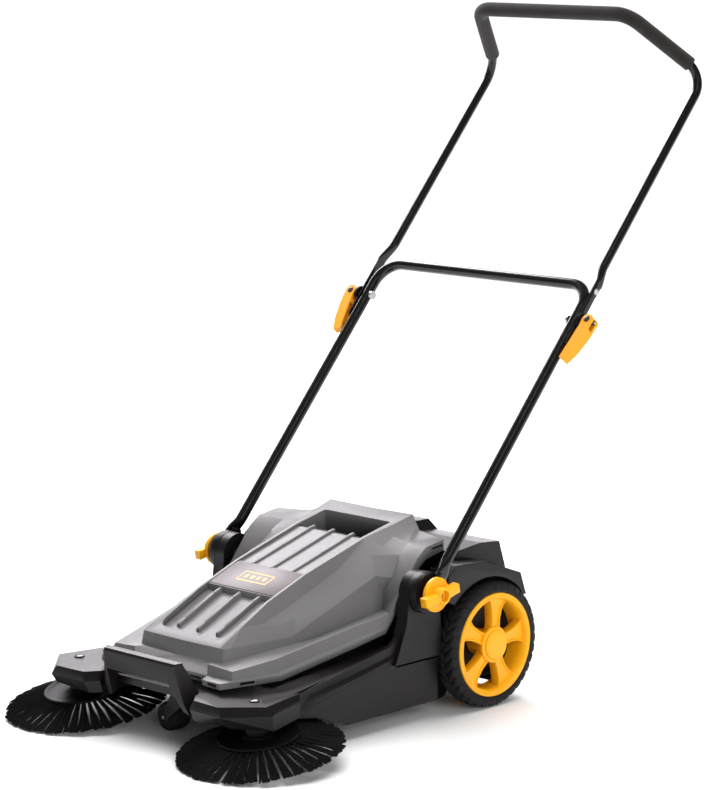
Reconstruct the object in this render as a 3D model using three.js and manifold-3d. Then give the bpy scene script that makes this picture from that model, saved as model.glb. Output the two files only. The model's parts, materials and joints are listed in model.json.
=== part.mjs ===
// A push sweeper: two tilted disc brushes and a transverse roller brush, all driven by the two
// rear wheels, with a lift-out debris container and a folding two-part push handle.
//
// Millimetres, +Z up. The front (the disc brushes) points to -Y, the handle leans back to +Y,
// and "right" is the +X side. The shapes are drawn with the wheel axle at y = 0; the last lines
// move everything so that the origin lies on the floor under the middle of the machine.

import * as THREE from 'three';
import { mergeVertices } from 'three/addons/utils/BufferGeometryUtils.js';
import { ConvexGeometry } from 'three/addons/geometries/ConvexGeometry.js';
import Module from 'manifold-3d';

const wasm = await Module();
wasm.setup();

// ---------------------------------------------------------------- driving dimensions
const GAP = 0.3;                      // clearance between neighbouring pieces

const WHEEL_R = 106;                  // tyre radius, so also the axle height
const WHEEL_IN = 210;                 // tyre's inner and outer face, distance from the middle
const WHEEL_OUT = 252.5;
const RIM_R = 86.6;
const AXLE_R = 6;

const GEAR_MODULE = 5;
const WHEEL_GEAR_TEETH = 24;
const ROLLER_GEAR_TEETH = 8;
const GEAR_CENTRES = GEAR_MODULE * (WHEEL_GEAR_TEETH + ROLLER_GEAR_TEETH) / 2;

const ROLLER_R = 72;                  // roller brush tips, 2 mm off the floor
const ROLLER_Z = 74;
const ROLLER_Y = -Math.sqrt(GEAR_CENTRES ** 2 - (WHEEL_R - ROLLER_Z) ** 2);
const ROLLER_HALF = 170;

const PLATE_IN = 187;                 // inner side plate
const PLATE_OUT = 190;
const GEAR_IN = 191.5;                // lane of the toothed gears
const GEAR_OUT = 199.5;
const BELT_IN = 177;                  // lane of the belt pulleys
const BELT_OUT = 186;
const WHEEL_PITCH_R = 39;             // belt's middle on the two pulleys, 3 : 1
const FRONT_PITCH_R = 13;
const BELT_THICK = 3.2;
const GROOVE_DROP = BELT_THICK / 2 + 0.8;

const BRUSH_X = 207;                  // disc brush axis: where it meets the floor plane
const BRUSH_Y = -493.8;
const BRUSH_TILT = 8.4;               // degrees, front edge down
const BRUSH_R = 136;
const BEVEL_S = 72;                   // bevel gears' apex, distance up the brush axis

const PIVOT_Y = -149.4;               // handle's folding axis
const PIVOT_Z = 217.4;
const HANDLE_LEAN = 41.3;             // degrees back from upright
const LOWER_TUBE_R = 9.5;
const UPPER_TUBE_R = 8;
const LOWER_X = 241.8;
const UPPER_X = 243.6;
const LOCK_S = 542;                   // cam-lock bolt, distance up the handle from the pivot
const LOCK_PIN_X = 276;               // the lever's cross pin
const TONGUE_S = 493;                 // lower end of the upper tube's flattened ends
const SPARE_S = 603;                  // spare hole for a higher setting
const CROSS_S = 613;                  // cross part of the lower tube
const TOP_S = 1063;                   // grip loop, distance up the handle

const SIDE_WALL_IN = 214;
const SIDE_WALL_OUT = 222;
const TOWER_IN = 206;
const TOWER_OUT = 230;
const BOSS_R = 34;
const BOSS_OUT = 243.5;

const CASTER_Y = -455;
const CASTER_TRAIL = 38;
const CASTER_R = 24;

// ---------------------------------------------------------------- materials
const paint = (color, roughness, metalness = 0) =>
  new THREE.MeshStandardMaterial({ color, roughness, metalness });
const GREY = () => paint(0x8a8888, 0.5);
const BLACK = () => paint(0x242223, 0.5);
const YELLOW = () => paint(0xf7a81c, 0.42);
const RUBBER = () => paint(0x1b1b1b, 0.85);
const BRISTLE = () => paint(0x0c0c0c, 0.8);
const ENAMEL = () => paint(0x101010, 0.25, 0.3);
const STEEL = () => paint(0xb9bcc0, 0.3, 1);
const WHITE_GEAR = () => paint(0xd8d6cf, 0.5);

// ---------------------------------------------------------------- solid helpers

// A closed, indexed geometry with only positions, and its faces pointing out.
function bare(geometry) {
  const copy = geometry.clone();
  for (const key of Object.keys(copy.attributes)) if (key !== 'position') copy.deleteAttribute(key);
  const merged = mergeVertices(copy, 1e-4);
  const p = merged.attributes.position;
  const kept = [];
  const corner = (i) => new THREE.Vector3().fromBufferAttribute(p, i);
  let volume = 0;
  for (let i = 0; i < merged.index.count; i += 3) {
    const [a, b, c] = [0, 1, 2].map((k) => merged.index.getX(i + k));
    if (a === b || b === c || c === a) continue;
    kept.push(a, b, c);
    volume += corner(a).dot(corner(b).cross(corner(c)));
  }
  if (volume < 0) kept.reverse();
  merged.setIndex(kept);
  return merged;
}

function solid(geometry) {
  const g = bare(geometry);
  return new wasm.Manifold(new wasm.Mesh({
    numProp: 3,
    vertProperties: new Float32Array(g.attributes.position.array),
    triVerts: new Uint32Array(g.index.array),
  }));
}

function geometryOf(manifold) {
  const { vertProperties, triVerts } = manifold.getMesh();
  const geometry = new THREE.BufferGeometry();
  geometry.setAttribute('position', new THREE.BufferAttribute(new Float32Array(vertProperties), 3));
  geometry.setIndex(new THREE.BufferAttribute(new Uint32Array(triVerts), 1));
  return geometry;
}

const join = (...geometries) => geometryOf(geometries.map(solid).reduce((a, b) => a.add(b)));
const cut = (geometry, ...tools) =>
  geometryOf(tools.map(solid).reduce((a, b) => a.subtract(b), solid(geometry)));

// The same geometry reflected in the machine's middle plane.
function mirrored(geometry) {
  const copy = bare(geometry);
  copy.scale(-1, 1, 1);
  copy.setIndex([...copy.index.array].reverse());
  return copy;
}
const bothSides = (geometry) => [geometry, mirrored(geometry)];

const outline = (points) => new THREE.Shape(points.map(([a, b]) => new THREE.Vector2(a, b)));
const basis = (x, y, z) => new THREE.Matrix4().makeBasis(
  new THREE.Vector3(...x), new THREE.Vector3(...y), new THREE.Vector3(...z));

// A prism along X from an outline in (y, z), and one along Z from an outline in (x, y).
function prismX(shape, x0, x1) {
  const face = Array.isArray(shape) ? outline(shape) : shape;
  return new THREE.ExtrudeGeometry(face, { depth: x1 - x0, bevelEnabled: false, curveSegments: 10 })
    .applyMatrix4(basis([0, 1, 0], [0, 0, 1], [1, 0, 0])).translate(x0, 0, 0);
}
function prismZ(shape, z0, z1) {
  const face = Array.isArray(shape) ? outline(shape) : shape;
  return new THREE.ExtrudeGeometry(face, { depth: z1 - z0, bevelEnabled: false, curveSegments: 10 })
    .translate(0, 0, z0);
}

const block = (x0, x1, y0, y1, z0, z1) =>
  new THREE.BoxGeometry(x1 - x0, y1 - y0, z1 - z0)
    .translate((x0 + x1) / 2, (y0 + y1) / 2, (z0 + z1) / 2);

const hull = (points) => new ConvexGeometry(points.map((p) => new THREE.Vector3(...p)));

// A hull that is the same on both sides of the middle plane.
const twinHull = (points) => hull(points.flatMap(([x, y, z]) => [[x, y, z], [-x, y, z]]));

// Turned pieces: a profile of [radius, along] pairs about the X axis or the Z axis.
const turned = (profile, segments) =>
  new THREE.LatheGeometry(profile.map(([r, a]) => new THREE.Vector2(r, a)), segments);
const turnedX = (profile, segments = 24) => turned(profile, segments).rotateZ(-Math.PI / 2);
const turnedZ = (profile, segments = 24) => turned(profile, segments).rotateX(Math.PI / 2);
const ring = (inner, outer, a0, a1) =>
  [[inner, a0], [outer, a0], [outer, a1], [inner, a1], [inner, a0]];
const rod = (radius, a0, a1) => [[0, a0], [radius, a0], [radius, a1], [0, a1]];

// A straight-sided gear outline about the origin; one tooth, or one gap, faces the given angle.
function gearOutline(teeth, module, facing, gapFaces = false) {
  const pitch = 2 * Math.PI / teeth;
  const start = facing + (gapFaces ? pitch / 2 : 0);
  const root = module * (teeth / 2 - 1.25);
  const tip = module * (teeth / 2 + 0.85);
  const points = [];
  for (let i = 0; i < teeth; i += 1) {
    const middle = start + i * pitch;
    for (const [r, turn] of [[root, -0.33], [tip, -0.12], [tip, 0.12], [root, 0.33]]) {
      const angle = middle + turn * pitch;
      points.push([r * Math.cos(angle), r * Math.sin(angle)]);
    }
  }
  return outline(points);
}

// A round hole in an outline, wound against it.
function hole(shape, x, y, radius) {
  const clockwise = !THREE.ShapeUtils.isClockWise(shape.getPoints());
  shape.holes.push(new THREE.Path().absarc(x, y, radius, 0, 2 * Math.PI, clockwise));
  return shape;
}

// A tube's centre line: straight runs between corners, each corner rounded by an arc.
class TubeRun extends THREE.Curve {
  constructor(corners, bend) {
    super();
    const p = corners.map((c) => new THREE.Vector3(...c));
    this.stations = [p[0]];
    for (let i = 1; i < p.length - 1; i += 1) {
      const back = p[i - 1].clone().sub(p[i]).normalize();
      const ahead = p[i + 1].clone().sub(p[i]).normalize();
      const half = back.angleTo(ahead) / 2;
      const centre = back.clone().add(ahead).normalize().multiplyScalar(bend / Math.sin(half)).add(p[i]);
      const from = back.clone().multiplyScalar(bend / Math.tan(half)).add(p[i]).sub(centre);
      const to = ahead.clone().multiplyScalar(bend / Math.tan(half)).add(p[i]).sub(centre);
      const axis = from.clone().cross(to).normalize();
      const sweep = from.angleTo(to);
      const arcSteps = Math.max(1, Math.round(sweep / 0.36));
      for (let k = 0; k <= arcSteps; k += 1) {
        this.stations.push(from.clone().applyAxisAngle(axis, sweep * k / arcSteps).add(centre));
      }
    }
    this.stations.push(p[p.length - 1]);
    this.steps = this.stations.length - 1;
  }

  getPoint(t) {
    const place = Math.min(t * this.steps, this.steps - 1e-9);
    const i = Math.floor(place);
    return this.stations[i].clone().lerp(this.stations[i + 1], place - i);
  }

  getTangent(t) {
    const i = Math.round(t * this.steps);
    const direction = (k) => this.stations[k + 1].clone().sub(this.stations[k]).normalize();
    const before = direction(Math.max(i - 1, 0));
    return before.add(direction(Math.min(i, this.steps - 1))).normalize();
  }

  getUtoTmapping(u) {
    return u;
  }
}

function tube(corners, radius, bend, sides = 12) {
  const run = new TubeRun(corners, bend);
  const section = [];
  for (let i = 0; i < sides; i += 1) {
    const angle = 2 * Math.PI * (i + 0.5) / sides;
    section.push([radius * Math.cos(angle), radius * Math.sin(angle)]);
  }
  return new THREE.ExtrudeGeometry(outline(section), {
    steps: run.steps, extrudePath: run, bevelEnabled: false,
  });
}

// ---------------------------------------------------------------- assembly
const sweeper = new THREE.Group();
const machine = new THREE.Group();
sweeper.add(machine);

function add(name, geometry, material, parent = machine) {
  const mesh = new THREE.Mesh(bare(geometry), material);
  mesh.name = name;
  parent.add(mesh);
  return mesh;
}

function addPair(name, geometry, material, parents = [machine, machine]) {
  bothSides(geometry).forEach((half, i) => {
    add(`${name}_${['right', 'left'][i]}`, half, material(), parents[i]);
  });
}

// ---- wheels and their drive gears, all turning about the axle line
function wheels() {
  const group = new THREE.Group();
  group.position.set(0, 0, WHEEL_R);
  machine.add(group);
  const parents = [group, group];

  const tyre = [
    [RIM_R + GAP, 213], [92, WHEEL_IN], [101, 211], [WHEEL_R, 219],
    [WHEEL_R, 244], [101, 251], [92, WHEEL_OUT], [RIM_R + GAP, 250], [RIM_R + GAP, 213],
  ];
  addPair('tyre', turnedX(tyre, 32), RUBBER, parents);

  const band = [
    [RIM_R, 214], [RIM_R, WHEEL_OUT], [78, WHEEL_OUT], [74, 248], [80, 238], [80, 214], [RIM_R, 214],
  ];
  const hub = [
    [AXLE_R + GAP, 206], [22, 206], [22, 232], [30, 236], [30, 249], [26, 251], [AXLE_R + GAP, 251],
    [AXLE_R + GAP, 206],
  ];
  const spokes = [0, 1, 2, 3, 4].map((i) => hull([
    [237, -9, 24], [237, 9, 24], [245, -9, 24], [245, 9, 24],
    [236, -17, 79], [236, 17, 79], [246, -15, 79], [246, 15, 79],
  ]).rotateX(2 * Math.PI * i / 5));
  addPair('wheel_rim', join(turnedX(band, 32), turnedX(hub, 20), ...spokes), YELLOW, parents);

  const cap = [[0, 251 + GAP], [23, 251 + GAP], [23, 253], [19, 255.5], [0, 257]];
  addPair('hub_cap', turnedX(cap, 20), YELLOW, parents);

  // Each wheel's sleeve carries a belt pulley inboard of the side plate; the right-hand sleeve
  // also carries the gear that drives the roller.
  const meshAngle = Math.atan2(ROLLER_Z - WHEEL_R, ROLLER_Y);
  const gearFace = hole(gearOutline(WHEEL_GEAR_TEETH, GEAR_MODULE, meshAngle), 0, 0, AXLE_R + GAP);
  const sleeve = turnedX(ring(AXLE_R + GAP, 14, BELT_IN - 2, 206 - GAP), 16);
  add('wheel_gear', join(prismX(gearFace, GEAR_IN, GEAR_OUT), sleeve), WHITE_GEAR(), group);
  add('wheel_sleeve', mirrored(sleeve), WHITE_GEAR(), group);

  const [flange, groove] = [WHEEL_PITCH_R + 2, WHEEL_PITCH_R - GROOVE_DROP];
  const pulley = [
    [14.6, BELT_IN], [flange, BELT_IN], [groove, BELT_IN + 3], [groove, BELT_OUT - 3], [flange, BELT_OUT],
    [14.6, BELT_OUT], [14.6, BELT_IN],
  ];
  addPair('belt_pulley', turnedX(pulley, 20), BLACK, parents);

  add('wheel_axle', turnedX(rod(AXLE_R, -250, 250), 16), STEEL(), group);
}

// ---- transverse roller brush
function roller() {
  const group = new THREE.Group();
  group.position.set(0, ROLLER_Y, ROLLER_Z);
  machine.add(group);

  const shaft = turnedX(rod(5, -193, 202), 12);
  add('roller_core', join(shaft, turnedX(rod(30, -ROLLER_HALF, ROLLER_HALF), 18)), BLACK(), group);

  // Bristle rows stand on one sleeve, six tufted strips around.
  const rows = 6;
  const points = [];
  for (let i = 0; i < rows; i += 1) {
    const middle = 2 * Math.PI * i / rows;
    for (const [r, turn] of [[34, -0.3], [ROLLER_R - 2, -0.2], [ROLLER_R, 0], [ROLLER_R - 2, 0.2], [34, 0.3]]) {
      points.push([r * Math.cos(middle + turn), r * Math.sin(middle + turn)]);
    }
  }
  const star = hole(outline(points), 0, 0, 31);
  add('roller_bristles', prismX(star, -ROLLER_HALF, ROLLER_HALF), BRISTLE(), group);

  const away = Math.atan2(WHEEL_R - ROLLER_Z, -ROLLER_Y);
  const pinion = hole(gearOutline(ROLLER_GEAR_TEETH, GEAR_MODULE, away, true), 0, 0, 5 + GAP);
  add('roller_gear', prismX(pinion, GEAR_IN, GEAR_OUT), WHITE_GEAR(), group);
}

// ---- drive to the disc brushes: belt, countershaft, bevel gears, spindle, disc and bristles
const brushTilt = THREE.MathUtils.degToRad(BRUSH_TILT);
const apexY = BRUSH_Y - BEVEL_S * Math.sin(brushTilt);
const apexZ = BEVEL_S * Math.cos(brushTilt);

// A bevel gear with its big end at z = 0, tapering to an apex at z = BEVEL_REACH.
const BEVEL_REACH = 10.8;
function bevelGear(gapFaces, facing) {
  const gear = prismZ(gearOutline(8, BEVEL_REACH / 4, facing, gapFaces), 0, 4.5);
  const p = gear.attributes.position;
  for (let i = 0; i < p.count; i += 1) {
    const shrink = 1 - p.getZ(i) / BEVEL_REACH;
    p.setXY(i, p.getX(i) * shrink, p.getY(i) * shrink);
  }
  return gear;
}

function discBrushes() {
  // Countershaft along X through the bevel apex, its pinion facing outwards.
  const counter = new THREE.Group();
  counter.position.set(0, apexY, apexZ);
  machine.add(counter);
  const big = BRUSH_X - BEVEL_REACH;
  // The pinion's tooth faces straight down the brush axis, where the crown gear has a gap.
  const pinion = bevelGear(false, -Math.PI / 2 + brushTilt)
    .applyMatrix4(basis([0, 1, 0], [0, 0, 1], [1, 0, 0])).translate(big, 0, 0);
  const shaft = turnedX(rod(4.5, BELT_IN - 5, big + 1), 12);
  const [flange, groove] = [FRONT_PITCH_R + 2, FRONT_PITCH_R - GROOVE_DROP];
  const pulley = [
    [0, BELT_IN], [flange, BELT_IN], [groove, BELT_IN + 3], [groove, BELT_OUT - 3],
    [flange, BELT_OUT], [0, BELT_OUT],
  ];
  addPair('countershaft', join(pinion, shaft, turnedX(pulley, 16)), BLACK, [counter, counter]);

  // Belt: a loop of two arcs and two straight runs.
  const loop = (extra) => {
    const shape = new THREE.Shape();
    const run = Math.hypot(apexY, apexZ - WHEEL_R);
    const along = Math.atan2(apexZ - WHEEL_R, apexY);
    const [rw, rf] = [WHEEL_PITCH_R + extra, FRONT_PITCH_R + extra];
    const open = Math.acos((rw - rf) / run);
    const points = [];
    const arc = (cy, cz, r, from, to, steps) => {
      for (let i = 0; i <= steps; i += 1) {
        const angle = from + (to - from) * i / steps;
        points.push(new THREE.Vector2(cy + r * Math.cos(angle), cz + r * Math.sin(angle)));
      }
    };
    arc(0, WHEEL_R, rw, along + open, along + 2 * Math.PI - open, 12);
    arc(apexY, apexZ, rf, along - open, along + open, 8);
    shape.setFromPoints(points);
    return shape;
  };
  const belt = loop(BELT_THICK / 2);
  belt.holes.push(new THREE.Path(loop(-BELT_THICK / 2).getPoints().reverse()));
  const lane = (BELT_IN + BELT_OUT) / 2;
  addPair('drive_belt', prismX(belt, lane - 1.2, lane + 1.2), RUBBER);

  // Everything on the tilted brush axis; local z runs up the axis from the floor.
  const tilted = [1, -1].map((side) => {
    const group = new THREE.Group();
    group.position.set(side * BRUSH_X, BRUSH_Y, 0);
    group.rotation.x = brushTilt;
    machine.add(group);
    return group;
  });

  const crownBack = BEVEL_S - BEVEL_REACH;
  const spindle = join(
    bevelGear(true, Math.PI).translate(0, 0, crownBack),
    turnedZ(rod(7, crownBack - 5, crownBack + 1), 12),
    turnedZ(rod(6, 38, crownBack - 4), 12),
  );
  addPair('brush_spindle', spindle, STEEL, tilted);

  // The neck, the cupped ring plate and, below it, the skirt that holds the tufts.
  const disc = [
    [6.4, 36], [24, 36], [28, 42], [56, 42], [65.5, 45], [63.5, 48.6], [55, 46],
    [30, 46], [25, 50], [25, 55.5], [6.4, 55.5], [6.4, 36],
  ];
  addPair('brush_disc', turnedZ(disc, 24), BLACK, tilted);

  const tufts = [
    [34, 41.5], [55.6, 41.5], [64, 44.2], [BRUSH_R, 23], [BRUSH_R - 2, 20.4],
    [56, 33], [34, 35], [34, 41.5],
  ];
  addPair('brush_bristles', turnedZ(tufts, 28), BRISTLE, tilted);

  // Gear housing round the bevel pair, open where the countershaft enters.
  const shell = turnedZ([
    [8, 56], [20.5, 56], [20.5, 91], [0, 91], [0, 88], [17.8, 88], [17.8, 58.3], [8, 58.3], [8, 56],
  ], 16);
  const entry = turnedX(rod(5.2, -25, -10), 12).translate(0, 0, BEVEL_S);
  addPair('brush_gearbox', cut(shell, entry), BLACK, tilted);
}

// ---- body mouldings
function body() {
  // Front arm: a faceted cap over the brush drive, open underneath.
  const armOuter = hull([
    [112, -545, 101], [130, -566, 100], [191, -572, 101], [245, -520, 101],
    [224, -428, 101], [112, -428, 101],
    [108, -552, 86], [126, -571, 85], [200, -575, 86], [254, -516, 87], [226, -428, 86],
    [108, -545, 66], [124, -560, 65], [202, -560, 67], [254, -512, 63], [226, -428, 63], [108, -428, 66],
  ]);
  const armInner = hull([
    [116, -541, 98], [130, -561, 97], [190, -567, 98], [241, -518, 98], [220, -424, 98], [116, -424, 98],
    [111.5, -541, 58], [125, -556, 58], [201, -556.5, 58], [250.5, -511, 58],
    [222, -424, 58], [111.5, -424, 58],
    [128, -566.5, 85], [198, -570.5, 86], [250, -514.5, 86.5],
  ]);
  const tilt = (g) => g.rotateX(brushTilt).translate(BRUSH_X, BRUSH_Y, 0);
  const screwWell = tilt(join(turnedZ(rod(7.5, 100, 115), 16), turnedZ(rod(3.6, 85, 101), 10)));
  const screwSeat = tilt(turnedZ(rod(11, 93, 101), 16));
  // Side wall, stepped ledge and deck run back from the arm to the handle tower.
  const wall = prismX([
    [-108, 28], [-320, 28], [-385, 53], [-428, 60], [-428, 99], [-222, 137], [-200, 150],
    [-184, 172], [-108, 172],
  ], SIDE_WALL_IN, SIDE_WALL_OUT);
  const wedge = hull([
    [SIDE_WALL_OUT, -424, 74], [SIDE_WALL_OUT, -214, 106], [SIDE_WALL_OUT, -214, 124],
    [SIDE_WALL_OUT, -400, 92],
    [218, -424, 74], [218, -214, 106], [226, -214, 118], [226, -392, 84], [218, -214, 124], [218, -400, 92],
  ]);
  const deck = hull([
    [172, -440, 98], [172, -440, 101], [219, -440, 98], [219, -440, 101],
    [184, -205, 130], [184, -205, 133], [219, -205, 130], [219, -205, 133],
  ]);
  const towerFace = new THREE.Shape();
  towerFace.moveTo(-216, 106);
  towerFace.lineTo(-190, 166);
  towerFace.lineTo(PIVOT_Y - BOSS_R, PIVOT_Z - 6);
  towerFace.absarc(PIVOT_Y, PIVOT_Z, BOSS_R, Math.PI, 0, true);
  towerFace.lineTo(-109, 165);
  towerFace.lineTo(-109, 106);
  const drum = turnedX(rod(BOSS_R - 0.5, TOWER_OUT - 2, BOSS_OUT), 28).translate(0, PIVOT_Y, PIVOT_Z);
  const tower = join(prismX(towerFace, TOWER_IN, TOWER_OUT), drum);
  const towerHollow = prismX([
    [-207, 100], [-182, 166], [-178, 186], [-122, 186], [-112, 165], [-112, 100],
  ], TOWER_IN + 3, TOWER_OUT - 3);
  const pivotHole = turnedX(rod(5 + GAP, 190, 250), 12).translate(0, PIVOT_Y, PIVOT_Z);
  const side = cut(join(cut(armOuter, armInner), screwSeat, wall, wedge, deck, tower),
    towerHollow, pivotHole, screwWell);
  addPair('side_frame', side, BLACK);

  // Arm screws sit in the wells, straight above the brush axes.
  const screw = tilt(join(turnedZ(rod(5.8, 100.3, 103.6), 12), turnedZ(rod(3.1, 92, 101), 8)));
  addPair('arm_screw', screw, STEEL);

  // Inner plate that carries the bearings of the wheel gear and the roller.
  const inner = hole(outline([
    [-148, 40], [-148, 128], [-104, 190], [80, 190], [92, 60], [60, 40],
  ]), 0, WHEEL_R, 14 + GAP + 0.5);
  hole(inner, ROLLER_Y, ROLLER_Z, 5 + GAP);
  addPair('bearing_plate', prismX(inner, PLATE_IN, PLATE_OUT), BLACK);

  // Cross member under the container's nose, with the caster socket.
  const cross = hull([
    [-107, -530, 84], [107, -530, 84], [-107, -530, 97], [107, -530, 97],
    [-107, -435, 84], [107, -435, 84], [-107, -435, 97], [107, -435, 97],
  ]);
  const socket = turnedZ(rod(16, 70, 90), 20).translate(0, CASTER_Y, 0);
  const stemHole = turnedZ(rod(5 + GAP, 60, 88), 16).translate(0, CASTER_Y, 0);
  add('front_crossmember', cut(join(cross, socket), stemHole), BLACK());

  // Carry handle across the front: a bar whose ends turn back into two legs.
  const bar = twinHull([
    [72, -568, 117], [83, -565, 144], [82, -562, 148], [89, -551, 149.5], [86, -549, 124], [72, -554, 119],
  ]);
  const leg = (side) => hull([
    [83, -565, 144], [89, -552, 149], [100, -527, 101], [100, -531, 96], [96, -533, 70], [95, -543, 64],
    [93, -553, 84], [72, -568, 118], [76, -553, 147], [90, -527, 101], [90, -531, 96], [87, -533, 72],
    [84, -546, 69], [80, -558, 92],
  ].map(([x, y, z]) => [side * x, y, z]));
  const seat = block(-110, 110, -530.4, -430, 80, 97.4);
  add('front_carry_handle', cut(join(bar, leg(1), leg(-1)), seat), BLACK());

  // Hood over the roller, with its raised middle, open below and in front.
  const hoodSkin = (inset, reach) => prismX([
    [-46 + 3 * inset, 262 - inset], [20, 268 - inset], [66 - inset, 264 - inset],
    [80 - inset, 222], [96 - inset, 130],
    [96 - inset, 40 - 2 * inset], [60 - 2 * inset, 40 - 2 * inset], [-46 - 3 * inset, 200 - 20 * inset],
  ], -reach, reach);
  const hump = hull([
    [-58, 2, 266], [58, 2, 266], [-46, 8, 282], [46, 8, 282], [-46, 60, 281], [46, 60, 281],
    [-62, 72, 258], [62, 72, 258],
  ]);
  const humpInner = hull([
    [-54, 6, 262], [54, 6, 262], [-43, 11, 279], [43, 11, 279], [-43, 57, 278], [43, 57, 278],
    [-58, 62, 255], [58, 62, 255],
  ]);
  const hoodOuter = join(hoodSkin(0, 201.7), hump);
  const below = block(-250, 250, -80, 66, 20, 172);
  const besideCover = block(-113, 113, -80, -31.5, 100, 300);
  const frontMouth = block(-200, 200, -80, -20, 60, 256);
  add('rear_hood', cut(hoodOuter, hoodSkin(3, 200), humpInner, below, besideCover, frontMouth), BLACK());

  // Wheel arches, each with a plate closing the drive off behind the wheel.
  const crown = [[-108, 196], [-104, 236], [-84, 252], [-10, 247], [74, 215], [88, 176]];
  const arch = outline([...crown, [80, 176]]);
  arch.absarc(-8, 104, 116, 0.85, 2.35, false);
  const plate = hole(outline([...crown, [94, 60], [60, 42], [-60, 42], [-104, 60]]), 0, WHEEL_R, 15.1);
  addPair('wheel_arch', join(prismX(arch, 203, 243), prismX(plate, 202, 205)), BLACK);

  // Rubber lip behind the roller.
  add('rear_flap', block(-176, 176, 97, 100, 9, 78), RUBBER());
}

// ---- lift-out container: grey cover, black tray, plaque
const RIDGE = [                       // upper edge of the cover, front to rear
  [89, -470, 158], [86, -420, 182.5], [84, -357, 212.8], [84, -271, 244.4], [85, -135, 284],
  [90, -66, 299], [94, -33, 306],
];

function container() {
  const inset = (points, d) => points.map(([x, y, z]) => [x - d, y, z - d]);
  const hoodPoints = [
    ...RIDGE, [86, -474, 134], [86, -474, 120], [106, -470, 138], [106, -470, 120],
    [126, -340, 146], [126, -340, 124],
    [155, -168, 206], [150, -183, 243], [156, -168, 160], [104, -33, 270], [104, -37, 160],
  ];
  const shoulderPoints = [
    [190, -204, 152], [197, -198, 184], [197, -125, 274], [196, -100, 282], [196, -62, 285],
    [112, -48, 292],
    [96, -90, 285], [150, -168, 208], [120, -168, 160], [197, -62, 262], [197, -130, 245], [112, -48, 200],
  ];
  const terracePoints = [
    [86, -495, 136], [86, -495, 117], [140, -493, 132], [140, -493, 117],
    [160, -418, 142], [160, -418, 114],
    [184, -262, 170], [190, -204, 178], [190, -204, 150], [100, -470, 140],
    [126, -340, 147], [110, -300, 120],
    [130, -204, 178], [120, -204, 150],
  ];
  const inner = (points, d) => points.map(([x, y, z]) => [x - d, y + (y < -300 ? d : 0), z - d]);
  const nose = twinHull(hoodPoints);
  const shoulders = [1, -1].map((s) => hull(shoulderPoints.map(([x, y, z]) => [s * x, y, z])));
  const terraces = [1, -1].map((s) => hull(terracePoints.map(([x, y, z]) => [s * x, y, z])));
  const flangeFront = (s) => hull([
    [90, -510, 107], [90, -510, 116], [140, -519, 108], [140, -519, 117],
    [172, -416, 109], [172, -416, 118],
    [90, -416, 109], [90, -416, 118],
  ].map(([x, y, z]) => [s * x, y, z]));
  const flangeSide = (s) => hull([
    [172, -418, 109], [172, -418, 118], [196, -207, 151], [196, -207, 161],
    [120, -418, 109], [120, -418, 118],
    [120, -207, 151], [120, -207, 161],
  ].map(([x, y, z]) => [s * x, y, z]));
  const sill = block(-92, 92, -497, -470, 107, 117);
  const outer = join(nose, ...shoulders, ...terraces, flangeFront(1), flangeFront(-1),
    flangeSide(1), flangeSide(-1), sill);

  const wallT = 3.2;
  const hollows = [
    twinHull([...inset(RIDGE, wallT), [83, -470, 134], [83, -470, 90], [102, -466, 134], [102, -466, 90],
      [122, -338, 143], [122, -338, 90], [151, -170, 203], [146, -184, 238], [152, -170, 90],
      [100, -37, 266], [100, -40, 90]].map(([x, y, z]) => [x, Math.max(y, -470), z])),
    ...[1, -1].map((s) => hull([...inner(shoulderPoints.slice(0, 6), wallT), [193, -202, 120], [193, -66, 255],
      [100, -66, 200], [100, -200, 120], [193, -66, 120]].map(([x, y, z]) => [s * x, Math.min(y, -52), z]))),
    ...[1, -1].map((s) => hull([...inner(terracePoints.slice(0, 8), wallT), [100, -466, 136], [120, -340, 143],
      [137, -489, 90], [86, -489, 90], [157, -418, 90], [186, -206, 120], [100, -206, 90]]
      .map(([x, y, z]) => [s * x, Math.max(y, -491), z]))),
  ];

  // Recessed panel with long ribs above and below the plaque.
  const slopeZ = (y) => {
    const i = Math.max(0, RIDGE.findIndex((p) => p[1] > y) - 1);
    const [a, b] = [RIDGE[i], RIDGE[i + 1]];
    return a[2] + (b[2] - a[2]) * (y - a[1]) / (b[1] - a[1]);
  };
  const groove = (x0, x1, y0, y1, depth) => {
    const stations = [y0, ...RIDGE.map((p) => p[1]).filter((y) => y > y0 && y < y1), y1];
    const face = [
      ...stations.map((y) => [y, slopeZ(y) - depth]),
      ...stations.reverse().map((y) => [y, slopeZ(y) + 6]),
    ];
    return prismX(face, x0, x1);
  };
  const grooves = [[-448, -341], [-268, -139]].flatMap(([y0, y1]) =>
    [-60, -22, 22, 60].map((x) => groove(x - 12, x + 12, y0, y1, 1.8)));
  const plaqueSeat = groove(-76, 76, -334, -274, 1.8);

  // Hand pocket in front of the lifting bar, open under the bar to the rear.
  const pocket = block(-70, 70, -130, -66, 240, 320);
  const underBar = block(-70, 70, -70, 0, 240, 286);
  const tub = join(block(-73, 73, -133, -36, 237, 282), block(-73, 73, -133, -120, 237, 283));
  const slots = [[-270, 181], [-340, 172]].map(([y, x]) => {
    const z = 111 + (y + 418) * 0.2;
    return block(x - 4, x + 20, y - 13, y + 13, z, z + 4);
  });
  const shell = cut(outer, ...hollows);
  const cover = cut(join(shell, tub), ...grooves, plaqueSeat, pocket, underBar, ...slots, ...slots.map(mirrored));
  add('container_cover', cover, GREY());

  const plaque = groove(-75.5, 75.5, -333.5, -274.5, 1.4);
  const trim = prismX([
    [-342, slopeZ(-342) - 10], [-342, slopeZ(-342) + 1],
    [-266, slopeZ(-266) + 1], [-266, slopeZ(-266) - 10],
  ], -80, 80);
  const plate = geometryOf(solid(plaque).intersect(solid(trim)));
  add('plaque', plate, paint(0x6f6768, 0.45));

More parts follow.
